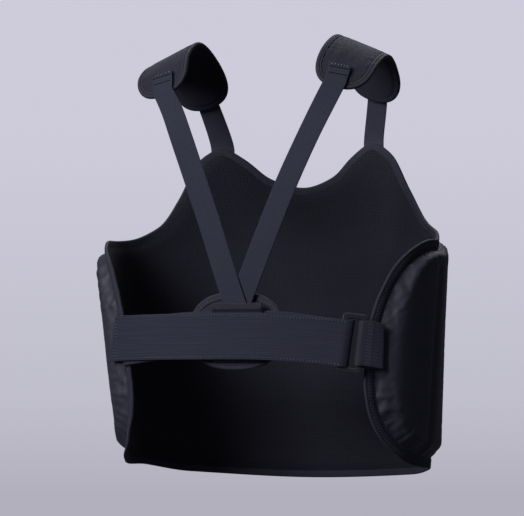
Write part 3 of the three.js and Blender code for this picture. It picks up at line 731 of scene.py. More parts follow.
def add_piece(name, bm, finish, slot, *nodes):
    """A finished object from a bmesh, riding on the one body and standing for its CAD nodes."""
    piece = show_mesh(name, bm)
    piece.data.materials.append(finish)
    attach(piece, "root")
    if nodes:
        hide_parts(*nodes)
    print(name, len(piece.data.polygons), "faces")
    return piece


# %% [markdown]
# ## Puckers
# Where a straight cloth is sewn round a curve it has too much length, and the spare cloth stands up
# in short ridges square to the seam. Noise that changes quickly along the seam and slowly away from
# it makes such ridges, and taking its size leaves round backs with sharp creases between them.

# %% Puckers along a seam
def noise_at(x, y, seed):
    return np.array([noise.noise(Vector((float(a), float(b), seed))) for a, b in zip(x, y)])


def smooth_step(value, low, high):
    t = np.clip((value - low) / (high - low), 0, 1)
    return t * t * (3 - 2 * t)


def soft_spot(distance, reach):
    """1 in the middle, and fading away over about the reach."""
    return np.exp(-(distance / reach)**2)


PUCKER = {"height": 2.4, "sunk": 0.6, "slower_inwards": 5, "starts_over": 2.5}


def puckers(arc, depth, pitch, reach, seed):
    """Ridges from a seam inwards, about 1 high, that die out at the reach. All in mm."""
    waves = noise_at(arc / pitch, depth / (PUCKER["slower_inwards"] * pitch), seed)
    ridges = PUCKER["height"] * np.abs(waves) - PUCKER["sunk"]
    return ridges * np.clip(depth / PUCKER["starts_over"], 0, 1) * soft_spot(depth, reach)


along_seam = np.arange(0.0, 20, 5)
print("puckers 5 mm inside a seam", puckers(along_seam, np.full(4, 5.0), 9, 15, 4.2).round(2))

# %% [markdown]
# ## A cover over foam
# A cover is sewn down along its rim and swells over the foam inside it. The cloth solver knows how
# to do that: the rim is pinned, the foam holds the middle, the cloth is cut a little too large, and
# a light pressure fills it. The place that the solver finds is kept, and no point may wander far.

# %% Settling a cover
def mesh_places(mesh):
    places = np.empty(len(mesh.vertices) * 3)
    mesh.vertices.foreach_get("co", places)
    return places.reshape(-1, 3)


SOLVER = {"quality": 6, "bending": 0.12, "frames": 20}


def settle(cover, hold, spare, pressure, most):
    """Runs the cloth solver on a cover. hold is 1 where it is sewn, spare is its extra size, and most
    is how far each point may go in mm."""
    start = mesh_places(cover.data)
    group = cover.vertex_groups.new(name="held")
    for level in np.unique(hold):
        group.add([int(k) for k in np.flatnonzero(hold == level)], float(level), "REPLACE")
    cloth = cover.modifiers.new("cloth", "CLOTH")
    settings = cloth.settings
    settings.quality = SOLVER["quality"]
    settings.bending_stiffness = SOLVER["bending"]
    settings.vertex_group_mass = "held"
    settings.shrink_min = -spare
    settings.use_pressure = True
    settings.uniform_pressure_force = pressure
    settings.effector_weights.gravity = 0
    cloth.collision_settings.use_collision = False
    cloth.point_cache.frame_end = SOLVER["frames"]
    for step in range(1, SOLVER["frames"] + 1):
        bpy.context.scene.frame_set(step)
    settled = mesh_places(cover.evaluated_get(bpy.context.evaluated_depsgraph_get()).data)
    move = settled - start
    length = np.linalg.norm(move, axis=1, keepdims=True)
    move *= np.minimum(1, np.reshape(most, (-1, 1)) * MM / np.maximum(length, 1e-9))
    cover.modifiers.remove(cloth)
    cover.vertex_groups.clear()
    cover.data.vertices.foreach_set("co", (start + move).ravel())
    bpy.context.scene.frame_set(1)
    print(cover.name, "settled by up to", round(float(length.max() / MM), 1), "mm")


print("the solver takes", SOLVER["frames"], "steps for a cover")

# %% Sewing a cover
PINCH = {"from": 3, "to": 16, "below": 2.9, "above": 0.9}
STRAPPED = {"from": 296, "to": 306, "z": -326, "reach": 38, "stills": 0.9}
FIRM = {"from": 0.45, "to": 1.15}
SEWN_WITHIN = 0.3


def strapped(flat):
    """1 where a strap's end lies on the cloth of a wing and keeps it flat, and 0 elsewhere."""
    u, v = flat[:, 0], flat[:, 1]
    behind = smooth_step(np.abs(u), STRAPPED["from"], STRAPPED["to"])
    return behind * np.exp(-((v - STRAPPED["z"]) / STRAPPED["reach"])**6)


def sew_cover(name, cut, spacing, lift_of, under_lift, sim, finish, slot, node):
    """A padded piece: a cover laid at lift_of(flat, depth, arc, spot), settled, and closed below."""
    bm = cut_grid(cut, spacing)
    flat = flat_places(bm)
    depth, arc, spot = cut.nearest(flat)
    lay(bm.verts, cut.place(flat[:, 0], flat[:, 1], lift_of(flat, depth, arc, spot)))
    piece = add_piece(name, bm, finish, slot, node)
    firmness = smooth_step(depth, FIRM["from"] * sim["slope"], FIRM["to"] * sim["slope"])
    hold = np.round(sim["slack"] + (sim["firm"] - sim["slack"]) * firmness, 2)
    hold = np.where(depth < SEWN_WITHIN * spacing, 1.0, hold)
    most = sim["most"] * (1 - STRAPPED["stills"] * strapped(flat))
    settle(piece, hold, sim["spare"], sim["pressure"], most)
    bm = bmesh.new()
    bm.from_mesh(piece.data)
    thin = sim["pinch"] * (1 - smooth_step(depth, 0, 2 * PINCH["from"]))
    thin_at = {tuple(place): lift for place, lift in zip(np.round(flat, 3), thin)}
    close_below(bm, lambda u, v: cut.place(u, v, under_lift + np.array(
        [thin_at[place] for place in zip(np.round(u, 3), np.round(v, 3))])))
    bm.to_mesh(piece.data)
    bm.free()
    return piece


print("sewn edges are pinched over", PINCH["to"], "mm")

# %% [markdown]
# ## The foam pad
# This is the guard's main piece: a slab of foam in a nylon cover, thick over the chest and rounded
# down to a seam all round. The cover gathers along that seam, most of all round the lower corners of
# the wings. A soft crease runs down on the right, where the slab bends round the side.

# %% How foam rises from a seam
CHEST_BACK = PANEL["thickness"] + LAYER_GAP


def foam_rise(distance, slope):
    """How a foam edge rises from its seam to its full height, as a share of it."""
    share = np.clip(distance / slope, 0, 1)
    return 1.5 * share - 0.5 * share**3


def chest_lift(depth):
    """How far the plain foam stands off the form, at a depth inside its seam."""
    rise = (CHEST_PAD["height"] - CHEST_PAD["rim"]) * foam_rise(depth, CHEST_PAD["slope"])
    return CHEST_BACK + CHEST_PAD["rim"] + rise


print("the foam stands", float(chest_lift(CHEST_PAD["slope"])), "mm off the form")

# %% Chest pad
CREASE = {"girth": -246, "z": -267, "lean": 0.062, "width": 3.5, "depth": 1.7, "fades": (4, 26)}
CREASE_ROLL = {"ahead": 11, "width": 8, "lift": 1.1}
EDGE_SLOPE = {"level": 9, "longer_below": 0.035, "mid_z": -340, "upright": 21}
COVER_RIM, COVER_ROOM, COVER_CORNER = 0.15, 0.4, 9
RIDGES = {"pitch": 9, "right": 15, "left": 27, "turn": (200, 280), "least": 0.4, "under_strap": 0.15,
          "seed": 4.2}
GATHERS = [
    {"girth": -312, "z": -425, "reach": 34, "height": 4.2},
    {"girth": -262, "z": -448, "reach": 30, "height": 3},
    {"girth": -300, "z": -245, "reach": 34, "height": 2.6},
    {"girth": -260, "z": -225, "reach": 30, "height": 1.6},
    {"girth": 310, "z": -300, "reach": 110, "height": 1.7},
    {"girth": 300, "z": -420, "reach": 60, "height": 1.6},
]


def chest_cover(flat, depth, arc, spot):
    """A slope that is steep along level seams, with its ridges, and the crease on the right side."""
    u, v = flat[:, 0], flat[:, 1]
    is_upright = ((u - spot[:, 0]) / np.maximum(depth, 0.1))**4
    level = EDGE_SLOPE["level"] + EDGE_SLOPE["longer_below"] * (EDGE_SLOPE["mid_z"] - v)
    slope = level + (EDGE_SLOPE["upright"] - level) * is_upright
    share = depth / slope
    full = CHEST_PAD["height"] - COVER_ROOM
    rise = full * share / (1 + share**COVER_CORNER)**(1 / COVER_CORNER)
    height = np.full(len(u), RIDGES["least"])
    for place in GATHERS:
        far = np.hypot(u - place["girth"], v - place["z"])
        height += place["height"] * soft_spot(far, place["reach"])
    reach = RIDGES["right"] + (RIDGES["left"] - RIDGES["right"]) * smooth_step(u, *RIDGES["turn"])
    height *= 1 - (1 - RIDGES["under_strap"]) * strapped(flat)
    ridges = height * puckers(arc, depth, RIDGES["pitch"], reach, RIDGES["seed"])
    beyond = u - CREASE["girth"] - CREASE["lean"] * (v - CREASE["z"])
    groove = CREASE["depth"] * soft_spot(beyond, CREASE["width"])
    roll = CREASE_ROLL["lift"] * soft_spot(beyond - CREASE_ROLL["ahead"], CREASE_ROLL["width"])
    within = smooth_step(depth, *CREASE["fades"])
    return CHEST_BACK + COVER_RIM + rise + ridges + within * (roll - groove)


CHEST_SIM = {"slope": 24, "slack": 0.32, "firm": 0.9, "spare": 0.024, "pressure": 2.5, "most": 3,
             "fill": 0.8, "pinch": 0}
CHEST_SQUARE, PANEL_SQUARE, PAD_SQUARE = 2.7, 4.5, 2.2
sew_cover("chest_pad_cover", chest_cut, CHEST_SQUARE, chest_cover, CHEST_BACK, CHEST_SIM,
          NYLON, "nylon", "chest_pad")

# %% [markdown]
# ## The lined panel
# The pad is sewn to a thin panel that reaches past it as a flat flange. Its outside is the same
# nylon, and its inside is the spacer mesh. Free cloth edges never lie quite straight, so the flange
# waves a little where nothing holds it.

# %% Backing panel
WAVE = {"pitch": 27, "height": 1.7, "width": 13, "free": (125, 200), "seed": 7.7}
RIPPLE = {"pitch": 0.45 * WAVE["pitch"], "height": 0.35, "seed": 1.3}
HELD = {"z": -323, "reach": 42, "girths": (285, 305), "stills": 0.9}
FLARE = {"girth": 278, "z": -463, "reach": 42, "lift": 5}


def edge_wave(u, v, depth):
    """How far the free edge stands off its line, in mm. It is still where straps are sewn on."""
    sway = noise_at(u / WAVE["pitch"], v / WAVE["pitch"], WAVE["seed"])
    sway += RIPPLE["height"] * noise_at(u / RIPPLE["pitch"], v / RIPPLE["pitch"], RIPPLE["seed"])
    free = smooth_step(np.abs(u), *WAVE["free"])
    at_strap = np.exp(-((v - HELD["z"]) / HELD["reach"])**4) * smooth_step(np.abs(u), *HELD["girths"])
    fade = np.clip(1 - depth / WAVE["width"], 0, 1)
    far = np.hypot(u - FLARE["girth"], v - FLARE["z"])
    flare = FLARE["lift"] * soft_spot(far, FLARE["reach"])
    return (WAVE["height"] * sway * free * (1 - HELD["stills"] * at_strap) + flare) * fade


def panel_inside(u, v):
    """The inside of the panel. Towards its edge the panel is pressed thin, and this side draws back."""
    depth = wrap_cut.nearest(np.stack([u, v], -1))[0]
    thin = PINCH["below"] * (1 - smooth_step(depth, PINCH["from"], PINCH["to"]))
    return wrap_point(u, v, thin + edge_wave(u, v, depth))


bm = cut_grid(panel_cut, PANEL_SQUARE)
flat = flat_places(bm)
depth = wrap_cut.nearest(flat)[0]
swell = PINCH["above"] * (1 - smooth_step(depth, PINCH["to"], 2 * PINCH["to"]))
waves = edge_wave(flat[:, 0], flat[:, 1], depth)
lay(bm.verts, wrap_point(flat[:, 0], flat[:, 1], PANEL["thickness"] + swell + waves))
inside = close_below(bm, panel_inside)
for face in inside:
    face.material_index = 1
panel_area = sum(face.calc_area() for face in inside)
panel = add_piece("backing_panel_cloth", bm, NYLON, "lining", "backing_panel")
panel.data.materials.append(LINING)

# %% [markdown]
# ## Binding tape and its stitches
# Every raw edge on this guard is closed with tape that is folded round it and sewn through. The fold
# is a rounded nose, and the row of stitches pulls the tape down into a faint groove. The section is
# swept round the outline as a grid, whose ends are then welded.

# %% Folded tape
TAPE_NOSE_STEPS = 8
TAPE_CLOTH = {"gap": 0.25, "thickness": 0.7, "nose": 1.9, "stitch_in": 4.4}
TAPE_GROOVE = {"depth": 0.3, "width": 1}
TAPE_LEG_END = {"drop": 0.3, "over": 0.8, "under": 2.6}
EDGE_STEP, PAD_STEP = 3.5, 2.5


def tape_profile(tape, low, high):
    """The section of a tape round an edge between two lifts, as (inward, lift) rows: the outside from
    the top leg round to the bottom leg, then the inside back."""
    inner, middle, leg = (high - low) / 2 + TAPE_CLOTH["gap"], (high + low) / 2, tape["leg"]
    thickness, nose = TAPE_CLOTH["thickness"], TAPE_CLOTH["nose"]
    half = inner + thickness
    turns = np.linspace(math.pi / 2, -math.pi / 2, TAPE_NOSE_STEPS + 1)
    row, wide, end = TAPE_CLOTH["stitch_in"], TAPE_GROOVE["width"], TAPE_LEG_END
    rows = [(leg, middle + half - end["drop"]), (leg - end["over"], middle + half),
            (row + wide, middle + half), (row, middle + half - TAPE_GROOVE["depth"]),
            (row - wide, middle + half)]
    rows += [(nose * (1 - math.cos(t)), middle + half * math.sin(t)) for t in turns]
    rows += [(leg - end["under"], middle - half), (leg, middle - half), (leg, middle - inner)]
    rows += [(nose - (nose - thickness) * math.cos(t), middle + inner * math.sin(t))
             for t in turns[::-1]]
    rows += [(leg, middle + inner)]
    return np.array(rows)


tape_section = tape_profile(EDGE_TAPE, 0, PANEL["thickness"])
print("a tape's section has", len(tape_section), "corners")

# %% Sweeping the tape
def still(u, v, depth):
    return np.zeros(len(u))


def swept_grid(places, cloth_size):
    """A bmesh from a grid of places: rows along a length and columns round a section, welded."""
    count, ring = places.shape[0], places.shape[1]
    bm = bmesh.new()
    cloth = bm.loops.layers.uv.new("cloth")
    bmesh.ops.create_grid(bm, x_segments=count, y_segments=ring, size=0.5,
                          matrix=Matrix.Translation((0.5, 0.5, 0)))
    for face in bm.faces:
        face.smooth = True
        for loop in face.loops:
            loop[cloth].uv = (loop.vert.co.x * cloth_size[0], loop.vert.co.y * cloth_size[1])
    for vert in bm.verts:
        vert.co = places[round(vert.co.x * count) % count, round(vert.co.y * ring) % ring]
    bmesh.ops.remove_doubles(bm, verts=bm.verts[:], dist=1e-6)
    bmesh.ops.recalc_face_normals(bm, faces=bm.faces[:])
    return bm


def fold_tape(name, cut, tape, edge, node, wave=still, step=PAD_STEP, mirrored=False):
    """A tape folded round the outline of a cut, whose edge lies between two lifts."""
    at, spots, along = cut.edge_walk(step)
    section = tape_profile(tape, *edge)
    inward, lift = section.T
    u = spots[:, :1] + along[:, 1:] * inward
    v = spots[:, 1:] - along[:, :1] * inward
    sway = wave(u.ravel(), v.ravel(), np.tile(inward, len(at))).reshape(u.shape)
    places = cut.place(u, v, lift + sway)
    if mirrored:
        places = places * (-1, 1, 1)
    outer = float(lengths_along(section)[-1])
    bm = swept_grid(places, (cut.arcs[-1] * MM, outer * MM))
    piece = add_piece(name, bm, TAPE, "tape", node)


flange_top = PANEL["thickness"] + PINCH["above"]
fold_tape("edge_binding_tape", wrap_cut, EDGE_TAPE, (PINCH["below"], flange_top), "edge_binding",
          edge_wave, EDGE_STEP)

# %% [markdown]
# ## Stitches
# A lockstitch shows as a row of short beads with a dip between them, where the needle went in,
# and the dip is dark with painted shade. Beads and dips are spheres of a few faces, stretched
# along the row, and a seeded hand varies the length and the slant of the beads a little. A row
# pulled deep into the cloth shows only its dips, so its beads get the same painted shade.

# %% Rows of stitches
STITCH = {"pitch": 3.4, "long": 1.6, "wide": 0.95, "high": 0.65}
DIP = {"long": 1.3, "wide": 1.05, "high": 0.5}
HAND = {"seed": 11, "slant": 0.12, "small": 0.88, "large": 1.08}
LOOK = 0.8 * MM
steady_hand = random.Random(HAND["seed"])
bm = bmesh.new()
bmesh.ops.create_uvsphere(bm, u_segments=6, v_segments=4, radius=1)
BEAD_POINTS = np.array([vert.co for vert in bm.verts])
BEAD_FACES = [[vert.index for vert in face.verts] for face in bm.faces]
bm.free()
print("a stitch has", len(BEAD_FACES), "faces")


def one_bead(spot, axes, shape, size):
    """The points of a small stretched sphere, with axes across the row, up from it and along it."""
    stretch = size * np.array([[shape["wide"]], [shape["high"]], [shape["long"]]])
    return np.array(spot) + BEAD_POINTS @ (np.array(axes) * stretch)


def stitch_row(points, outs, pitch, coarse, is_shaded):
    """The beads of a row along points in metres, each lying on the side that outs shows, and whether
    each is painted in shade. A coarse thread makes larger ones, and a row in shade shows no thread."""
    arc = lengths_along(points)
    count = max(2, int(arc[-1] / (pitch * MM)))
    at = (np.arange(count) + 0.5) * arc[-1] / count
    spots, ups = places_at(at, arc, points), places_at(at, arc, outs)
    ahead, behind = np.minimum(at + LOOK, arc[-1]), np.maximum(at - LOOK, 0)
    ways = places_at(ahead, arc, points) - places_at(behind, arc, points)
    beads = []
    for spot, up, way in zip(spots, ups, ways):
        up, way = Vector(up).normalized(), Vector(way).normalized()
        side = up.cross(way).normalized()
        next_dip = Vector(spot) + way * pitch * MM / 2
        way = (way + side * steady_hand.uniform(-HAND["slant"], HAND["slant"])).normalized()
        axes = up.cross(way).normalized(), up, way
        size = coarse * steady_hand.uniform(HAND["small"], HAND["large"]) * MM / 2
        beads.append((one_bead(spot, axes, STITCH, size), is_shaded))
        beads.append((one_bead(next_dip, axes, DIP, coarse * MM / 2), True))
    return beads


def add_stitches(name, rows, pitch=STITCH["pitch"], coarse=1, shaded_rows=()):
    """One object with all rows of stitches of a piece."""
    beads = [bead for row in rows for bead in stitch_row(*row, pitch, coarse, False)]
    beads += [bead for row in shaded_rows for bead in stitch_row(*row, pitch, coarse, True)]
    points = np.concatenate([bead for bead, in_shade in beads])
    faces = [[k * len(BEAD_POINTS) + corner for corner in face]
             for k in range(len(beads)) for face in BEAD_FACES]
    joined = bpy.data.meshes.new("joined_beads")
    joined.from_pydata(points.tolist(), [], faces)
    bm = bmesh.new()
    bm.from_mesh(joined)
    bpy.data.meshes.remove(joined)
    for k, face in enumerate(bm.faces):
        face.smooth = True
        # Dips and the beads of shaded rows take the second finish, which is painted shade
        face.material_index = int(beads[k // len(BEAD_FACES)][1])
    piece = add_piece(name, bm, THREAD, None)
    piece.data.materials.append(HOLE_SHADE)
    return piece


print("stitches of", STITCH["pitch"], "mm from one to the next")

# %% Rows along tapes and seams
ROW_STEP, STITCH_SUNK, SEAM_OUT = 3, 0.15, 1.1


def tape_row(cut, rim, wave=still, mirrored=False):
    """The row of stitches along the front leg of a folded tape, as places and outward directions."""
    at, spots, along = cut.edge_walk(ROW_STEP)
    spots, along = np.concatenate([spots, spots[:1]]), np.concatenate([along, along[:1]])
    inward = TAPE_CLOTH["stitch_in"]
    u, v = spots[:, 0] + along[:, 1] * inward, spots[:, 1] - along[:, 0] * inward
    lift = rim + TAPE_CLOTH["gap"] + TAPE_CLOTH["thickness"] - STITCH_SUNK
    lift = lift + wave(u, v, np.full(len(u), inward))
    points = cut.place(u, v, lift)
    outs = cut.place(u, v, lift + 1) - points
    side = np.array((-1, 1, 1)) if mirrored else 1
    return points * side, outs * side


def seam_row(lift):
    """The row of stitches along the pad's seam, just outside the foam."""
    at, spots, along = chest_cut.edge_walk(ROW_STEP)
    u, v = spots[:, 0] - along[:, 1] * SEAM_OUT, spots[:, 1] + along[:, 0] * SEAM_OUT
    points = wrap_point(u, v, lift)
    return points, wrap_point(u, v, lift + 1) - points


add_stitches("edge_binding_stitches", [tape_row(wrap_cut, flange_top, edge_wave)])
add_stitches("chest_pad_stitches", [seam_row(flange_top + COVER_RIM)])

# %% [markdown]
# ## Shoulder pads
# A shoulder pad is a flat oblong of foam between two knits, bound round its edge, that bends from
# back to front and slopes down outwards. Its pattern runs along a line down its middle, so a place on
# it is how far along that line and how far across.

# %% Shoulder line
SHOULDER_LINE = [(103, 77, -52), (109, 54, -16), (111, 12, 1), (108, -30, -15), (102, -60, -50)]
SHOULDER_PAD = {"width": 67, "end_cap": 38, "squareness": 2.5, "tilt_degrees": 24}
SHOULDER_BODY = {"rim": 4, "height": 6.5, "slope": 14}
SHOULDER_TAPE = {"leg": 7, "thickness": 1}
CORE_MARGIN, LINE_STEPS = 2, 60


def smooth_line(points, steps):
    """A smooth curve through points, with some steps from each one to the next."""
    p = np.asarray(points, float)
    p = np.concatenate([[2 * p[0] - p[1]], p, [2 * p[-1] - p[-2]]])
    t = (np.arange(steps) / steps)[:, None]
    parts = []
    for a, b, c, d in zip(p, p[1:], p[2:], p[3:]):
        first, mid, last = (max(np.linalg.norm(y - x)**0.5, 1e-6) for x, y in ((a, b), (b, c), (c, d)))
        leave = ((b - a) / first - (c - a) / (first + mid) + (c - b) / mid) * mid
        arrive = ((c - b) / mid - (d - b) / (mid + last) + (d - c) / last) * mid
        parts.append(b * (2 * t**3 - 3 * t**2 + 1) + leave * (t**3 - 2 * t**2 + t)
                     + c * (3 * t**2 - 2 * t**3) + arrive * (t**3 - t**2))
    return np.concatenate([*parts, p[-2:-1]])


shoulder_dots = smooth_line(SHOULDER_LINE, LINE_STEPS)
shoulder_arc = lengths_along(shoulder_dots)
SHOULDER_REACH = float(shoulder_arc[-1] / 2)
tilt = math.radians(SHOULDER_PAD["tilt_degrees"])
DOWN_OUTWARDS = np.array([math.cos(tilt), 0, -math.sin(tilt)])
print("a shoulder pad is", round(2 * SHOULDER_REACH), "mm long")

# %% Laying a shoulder pad
def shoulder_point(along, across, lift):
    """A place on the left shoulder pad in metres."""
    along, across, lift = same_shape(along, across, lift)
    at = np.clip(along + SHOULDER_REACH, 0.5, shoulder_arc[-1] - 0.5)
    on_line = lambda far: places_at(far, shoulder_arc, shoulder_dots)
    forward = unit(on_line(at + 0.5) - on_line(at - 0.5))
    side = unit(DOWN_OUTWARDS - forward * (forward @ DOWN_OUTWARDS)[..., None])
    middle = on_line(np.clip(along + SHOULDER_REACH, 0, shoulder_arc[-1]))
    out = np.cross(forward, side)
    return (middle + side * across[..., None] + out * lift[..., None]) * MM


def shoulder_edge(along):
    into_cap = np.maximum(np.abs(along) - (SHOULDER_REACH - SHOULDER_PAD["end_cap"]), 0)
    return squared_arc(into_cap, SHOULDER_PAD["end_cap"], SHOULDER_PAD["width"] / 2,
                       SHOULDER_PAD["squareness"])


def core_lift(body, tape, depth):
    """A padded core rises only behind the leg of the tape on its edge."""
    rise = foam_rise(depth - tape["leg"] - CORE_MARGIN, body["slope"])
    return body["rim"] + (body["height"] - body["rim"]) * rise


TAPE_STEP = {"from": 0.5, "to": 1.5}
SOLVER_ROOM = 0.3


def cover_lift(body, tape, depth):
    """The cover over such a core, drawn up at its rim, where the tape lies flush with it."""
    leg = tape["leg"] - PANEL["edge_inset"]
    rim = body["rim"] + PINCH["above"]
    step = TAPE_CLOTH["thickness"] * smooth_step(depth, leg - TAPE_STEP["from"], leg + TAPE_STEP["to"])
    top = body["height"] - SOLVER_ROOM
    return rim + step + (top - rim - TAPE_CLOTH["thickness"]) * foam_rise(depth - leg, body["slope"])


print("half way across a shoulder pad is", shoulder_point(0, 0, 0).round(3))

# %% Shoulder pads
shoulder_cut = Cut(shoulder_point, SHOULDER_REACH, lambda u: -shoulder_edge(u), shoulder_edge)
shoulder_core = shoulder_cut.inset(PANEL["edge_inset"])
PAD_SIM = {"slope": 20, "slack": 0.4, "firm": 0.85, "spare": 0.015, "pressure": 1.2, "most": 1,
           "fill": 0.55, "pinch": 2.2}
TUG = {"along": -SHOULDER_REACH + 38, "across": -4, "reach": 15, "longer": 1.2, "depth": 0.5}
DENTS = {"across": 6, "along": 22, "height": 1.1, "seed": 2.4}
PAD_RIDGES = {"height": 0.8, "from": 4, "pitch": 9, "reach": 9, "seed": 8.8}


def rim_ridges(r, arc, depth):
    """Small puckers along the tape on a padded piece."""
    return r["height"] * puckers(arc, depth - r["from"], r["pitch"], r["reach"], r["seed"])


def shoulder_cover(flat, depth, arc, spot):
    """The foam, small puckers at the binding, and the dents that the sewn strap pulls in."""
    along, across = flat[:, 0], flat[:, 1]
    far = np.hypot((along - TUG["along"]) / TUG["longer"], across - TUG["across"])
    tug = soft_spot(far, TUG["reach"])
    dents = DENTS["height"] * noise_at(across / DENTS["across"], along / DENTS["along"], DENTS["seed"])
    return (cover_lift(SHOULDER_BODY, SHOULDER_TAPE, depth) + (dents - TUG["depth"]) * tug
            + rim_ridges(PAD_RIDGES, arc, depth))


def mirror_piece(piece, name, slot, node, finish):
    """The same piece on the other side of the guard."""
    bm = bmesh.new()
    bm.from_mesh(piece.data)
    bmesh.ops.scale(bm, vec=(-1, 1, 1), verts=bm.verts[:])
    bmesh.ops.reverse_faces(bm, faces=bm.faces[:])
    return add_piece(name, bm, finish, slot, node)


left_pad = sew_cover("shoulder_pad_left_cover", shoulder_core, PAD_SQUARE, shoulder_cover, 0, PAD_SIM,
                     KNIT, "knit", "shoulder_pad_left")
right_pad = mirror_piece(left_pad, "shoulder_pad_right_cover", "knit", "shoulder_pad_right", KNIT)
for side, is_mirrored in (("left", False), ("right", True)):
    fold_tape(f"shoulder_binding_{side}_tape", shoulder_cut, SHOULDER_TAPE,
              (PAD_SIM["pinch"], SHOULDER_BODY["rim"] + PINCH["above"]),
              f"shoulder_binding_{side}", mirrored=is_mirrored)
    # The binding's row is drawn all in painted shade, as dark dots sunk into the tape
    add_stitches(f"shoulder_binding_{side}_stitches", [], shaded_rows=[
        tape_row(shoulder_cut, SHOULDER_BODY["rim"] + PINCH["above"], mirrored=is_mirrored)])

# %% [markdown]
# ## The back patch
# The straps come together on an oval patch in the middle of the back. It is made just as the
# shoulder pads are, from a thin foam between knits with a bound edge, and is slightly bowed.

# %% Back patch
PATCH = {"x": 1, "y": 111.5, "z": -314, "half_width": 55.5, "half_height": 42.5, "squareness": 2.4}
PATCH_BODY = {"bend": 0.0012, "rim": 4, "height": 7.5, "slope": 14}
PATCH_TAPE = {"leg": 8}
PATCH_RIDGES = {"height": 0.3, "from": 5, "pitch": 8, "reach": 8, "seed": 3.6}


def patch_point(across, upward, lift):
    across, upward, lift = same_shape(across, upward, lift)
    depth = PATCH["y"] - PATCH_BODY["bend"] * across**2 + lift
    return np.stack([PATCH["x"] - across, depth, PATCH["z"] + upward], -1) * MM


def patch_edge(across):
    return squared_arc(across, PATCH["half_width"], PATCH["half_height"], PATCH["squareness"])


def patch_cover(flat, depth, arc, spot):
    return cover_lift(PATCH_BODY, PATCH_TAPE, depth) + rim_ridges(PATCH_RIDGES, arc, depth)


patch_cut = Cut(patch_point, PATCH["half_width"], lambda u: -patch_edge(u), patch_edge)
sew_cover("back_patch_cover", patch_cut.inset(PANEL["edge_inset"]), PAD_SQUARE, patch_cover, 0,
          {**PAD_SIM, "most": 0.6, "fill": 0.4}, KNIT, "knit", "back_patch")
fold_tape("back_patch_binding_tape", patch_cut, PATCH_TAPE,
          (PAD_SIM["pinch"], PATCH_BODY["rim"] + PINCH["above"]), "back_patch_binding")
add_stitches("back_patch_binding_stitches",
             [tape_row(patch_cut, PATCH_BODY["rim"] + PINCH["above"])])

# %% [markdown]
# ## Straps
# A strap is a band of even width, given by the places of its two edges at a few stations, with a
# smooth curve through them. It is a grid of one layer, which a Solidify modifier thickens on both
# sides and a Bevel softens, as woven edges are never sharp.

# %% Bands
BAND_EDGE = {"share": 0.3, "segments": 2, "sharp_degrees": 55}
STITCH_OUT, CROSS_STEPS, STRAP_STEPS = 0.05, 12, 10


def crossing(centre, side, width):
    """The two edges of a strap's width at one station, in metres."""
    half = np.asarray(side, float) * width / 2
    return np.stack([np.asarray(centre, float) + half, np.asarray(centre, float) - half]) * MM


def smooth_band(crossings, steps):
    edges = np.asarray(crossings)
    return np.stack([smooth_line(edges[:, k], steps) for k in (0, 1)], 1)


def band_normals(band):
    """The direction square to the strap at each station."""
    centre = band.mean(1)
    along = np.gradient(centre, axis=0)
    return unit(np.cross(along, band[:, 0] - band[:, 1]))


def band_length(band):
    return float(lengths_along(band.mean(1))[-1])


def add_band(name, band, thickness, finish, slot, node, columns=10, shape=None):
    """A strap from its stations. shape(along, across) may lift places off its plain surface."""
    count = len(band) - 1
    arc = lengths_along(band.mean(1))
    width = float(np.linalg.norm(band[:, 0] - band[:, 1], axis=1).mean())
    normals = band_normals(band)
    bm = bmesh.new()
    cloth = bm.loops.layers.uv.new("cloth")
    bmesh.ops.create_grid(bm, x_segments=count, y_segments=columns, size=0.5,
                          matrix=Matrix.Translation((0.5, 0.5, 0)))
    for face in bm.faces:
        face.smooth = True
        for loop in face.loops:
            loop[cloth].uv = (arc[round(loop.vert.co.x * count)], loop.vert.co.y * width)
    for vert in bm.verts:
        k, share = round(vert.co.x * count), vert.co.y
        place = band[k, 1] * (1 - share) + band[k, 0] * share
        if shape:
            place = place + normals[k] * shape(arc[k] / MM, (share - 0.5) * width / MM) * MM
        vert.co = place
    piece = add_piece(name, bm, finish, slot, node)
    wall = piece.modifiers.new("wall", "SOLIDIFY")
    wall.thickness, wall.offset, wall.use_even_offset = thickness * MM, 0, True
    edge = piece.modifiers.new("edge", "BEVEL")
    edge.width, edge.segments = BAND_EDGE["share"] * thickness * MM, BAND_EDGE["segments"]
    edge.limit_method, edge.angle_limit = "ANGLE", math.radians(BAND_EDGE["sharp_degrees"])
    return piece


print("a strap's edge is rounded over", BAND_EDGE["share"], "of its thickness")

# %% Rows on a band
def band_row(band, share, thickness, side=1, first=0, last=None):
    """A row of stitches along a strap, at a share of its width, on its outer or inner side."""
    normals = band_normals(band)[first:last] * side
    part = band[first:last]
    line = part[:, 1] * (1 - share) + part[:, 0] * share
    return line + normals * (thickness / 2 + STITCH_OUT) * MM, normals


def cross_row(band, station, thickness, side=1, margin=0.08):
    """A row of stitches straight across a strap at one station, or at a share of the way to the next."""
    k, share = math.floor(station), station % 1
    normal = band_normals(band)[k] * side
    top, bottom = band[k] * (1 - share) + band[k + 1] * share
    shares = np.linspace(margin, 1 - margin, CROSS_STEPS)[:, None]
    line = bottom * (1 - shares) + top * shares
    lifted = line + normal * (thickness / 2 + STITCH_OUT) * MM
    return lifted, np.repeat(normal[None], CROSS_STEPS, 0)


print("a row across a strap follows", CROSS_STEPS, "places")

# %% [markdown]
# ## The V straps
# Each elastic strap is folded double on the back end of its shoulder pad and sewn through twice,
# then runs down the back to the patch, where the left one lies over the right one and both end level
# under a hem. The stations of the V are read off a photograph, all but their depth, which is that of
# an adult size.

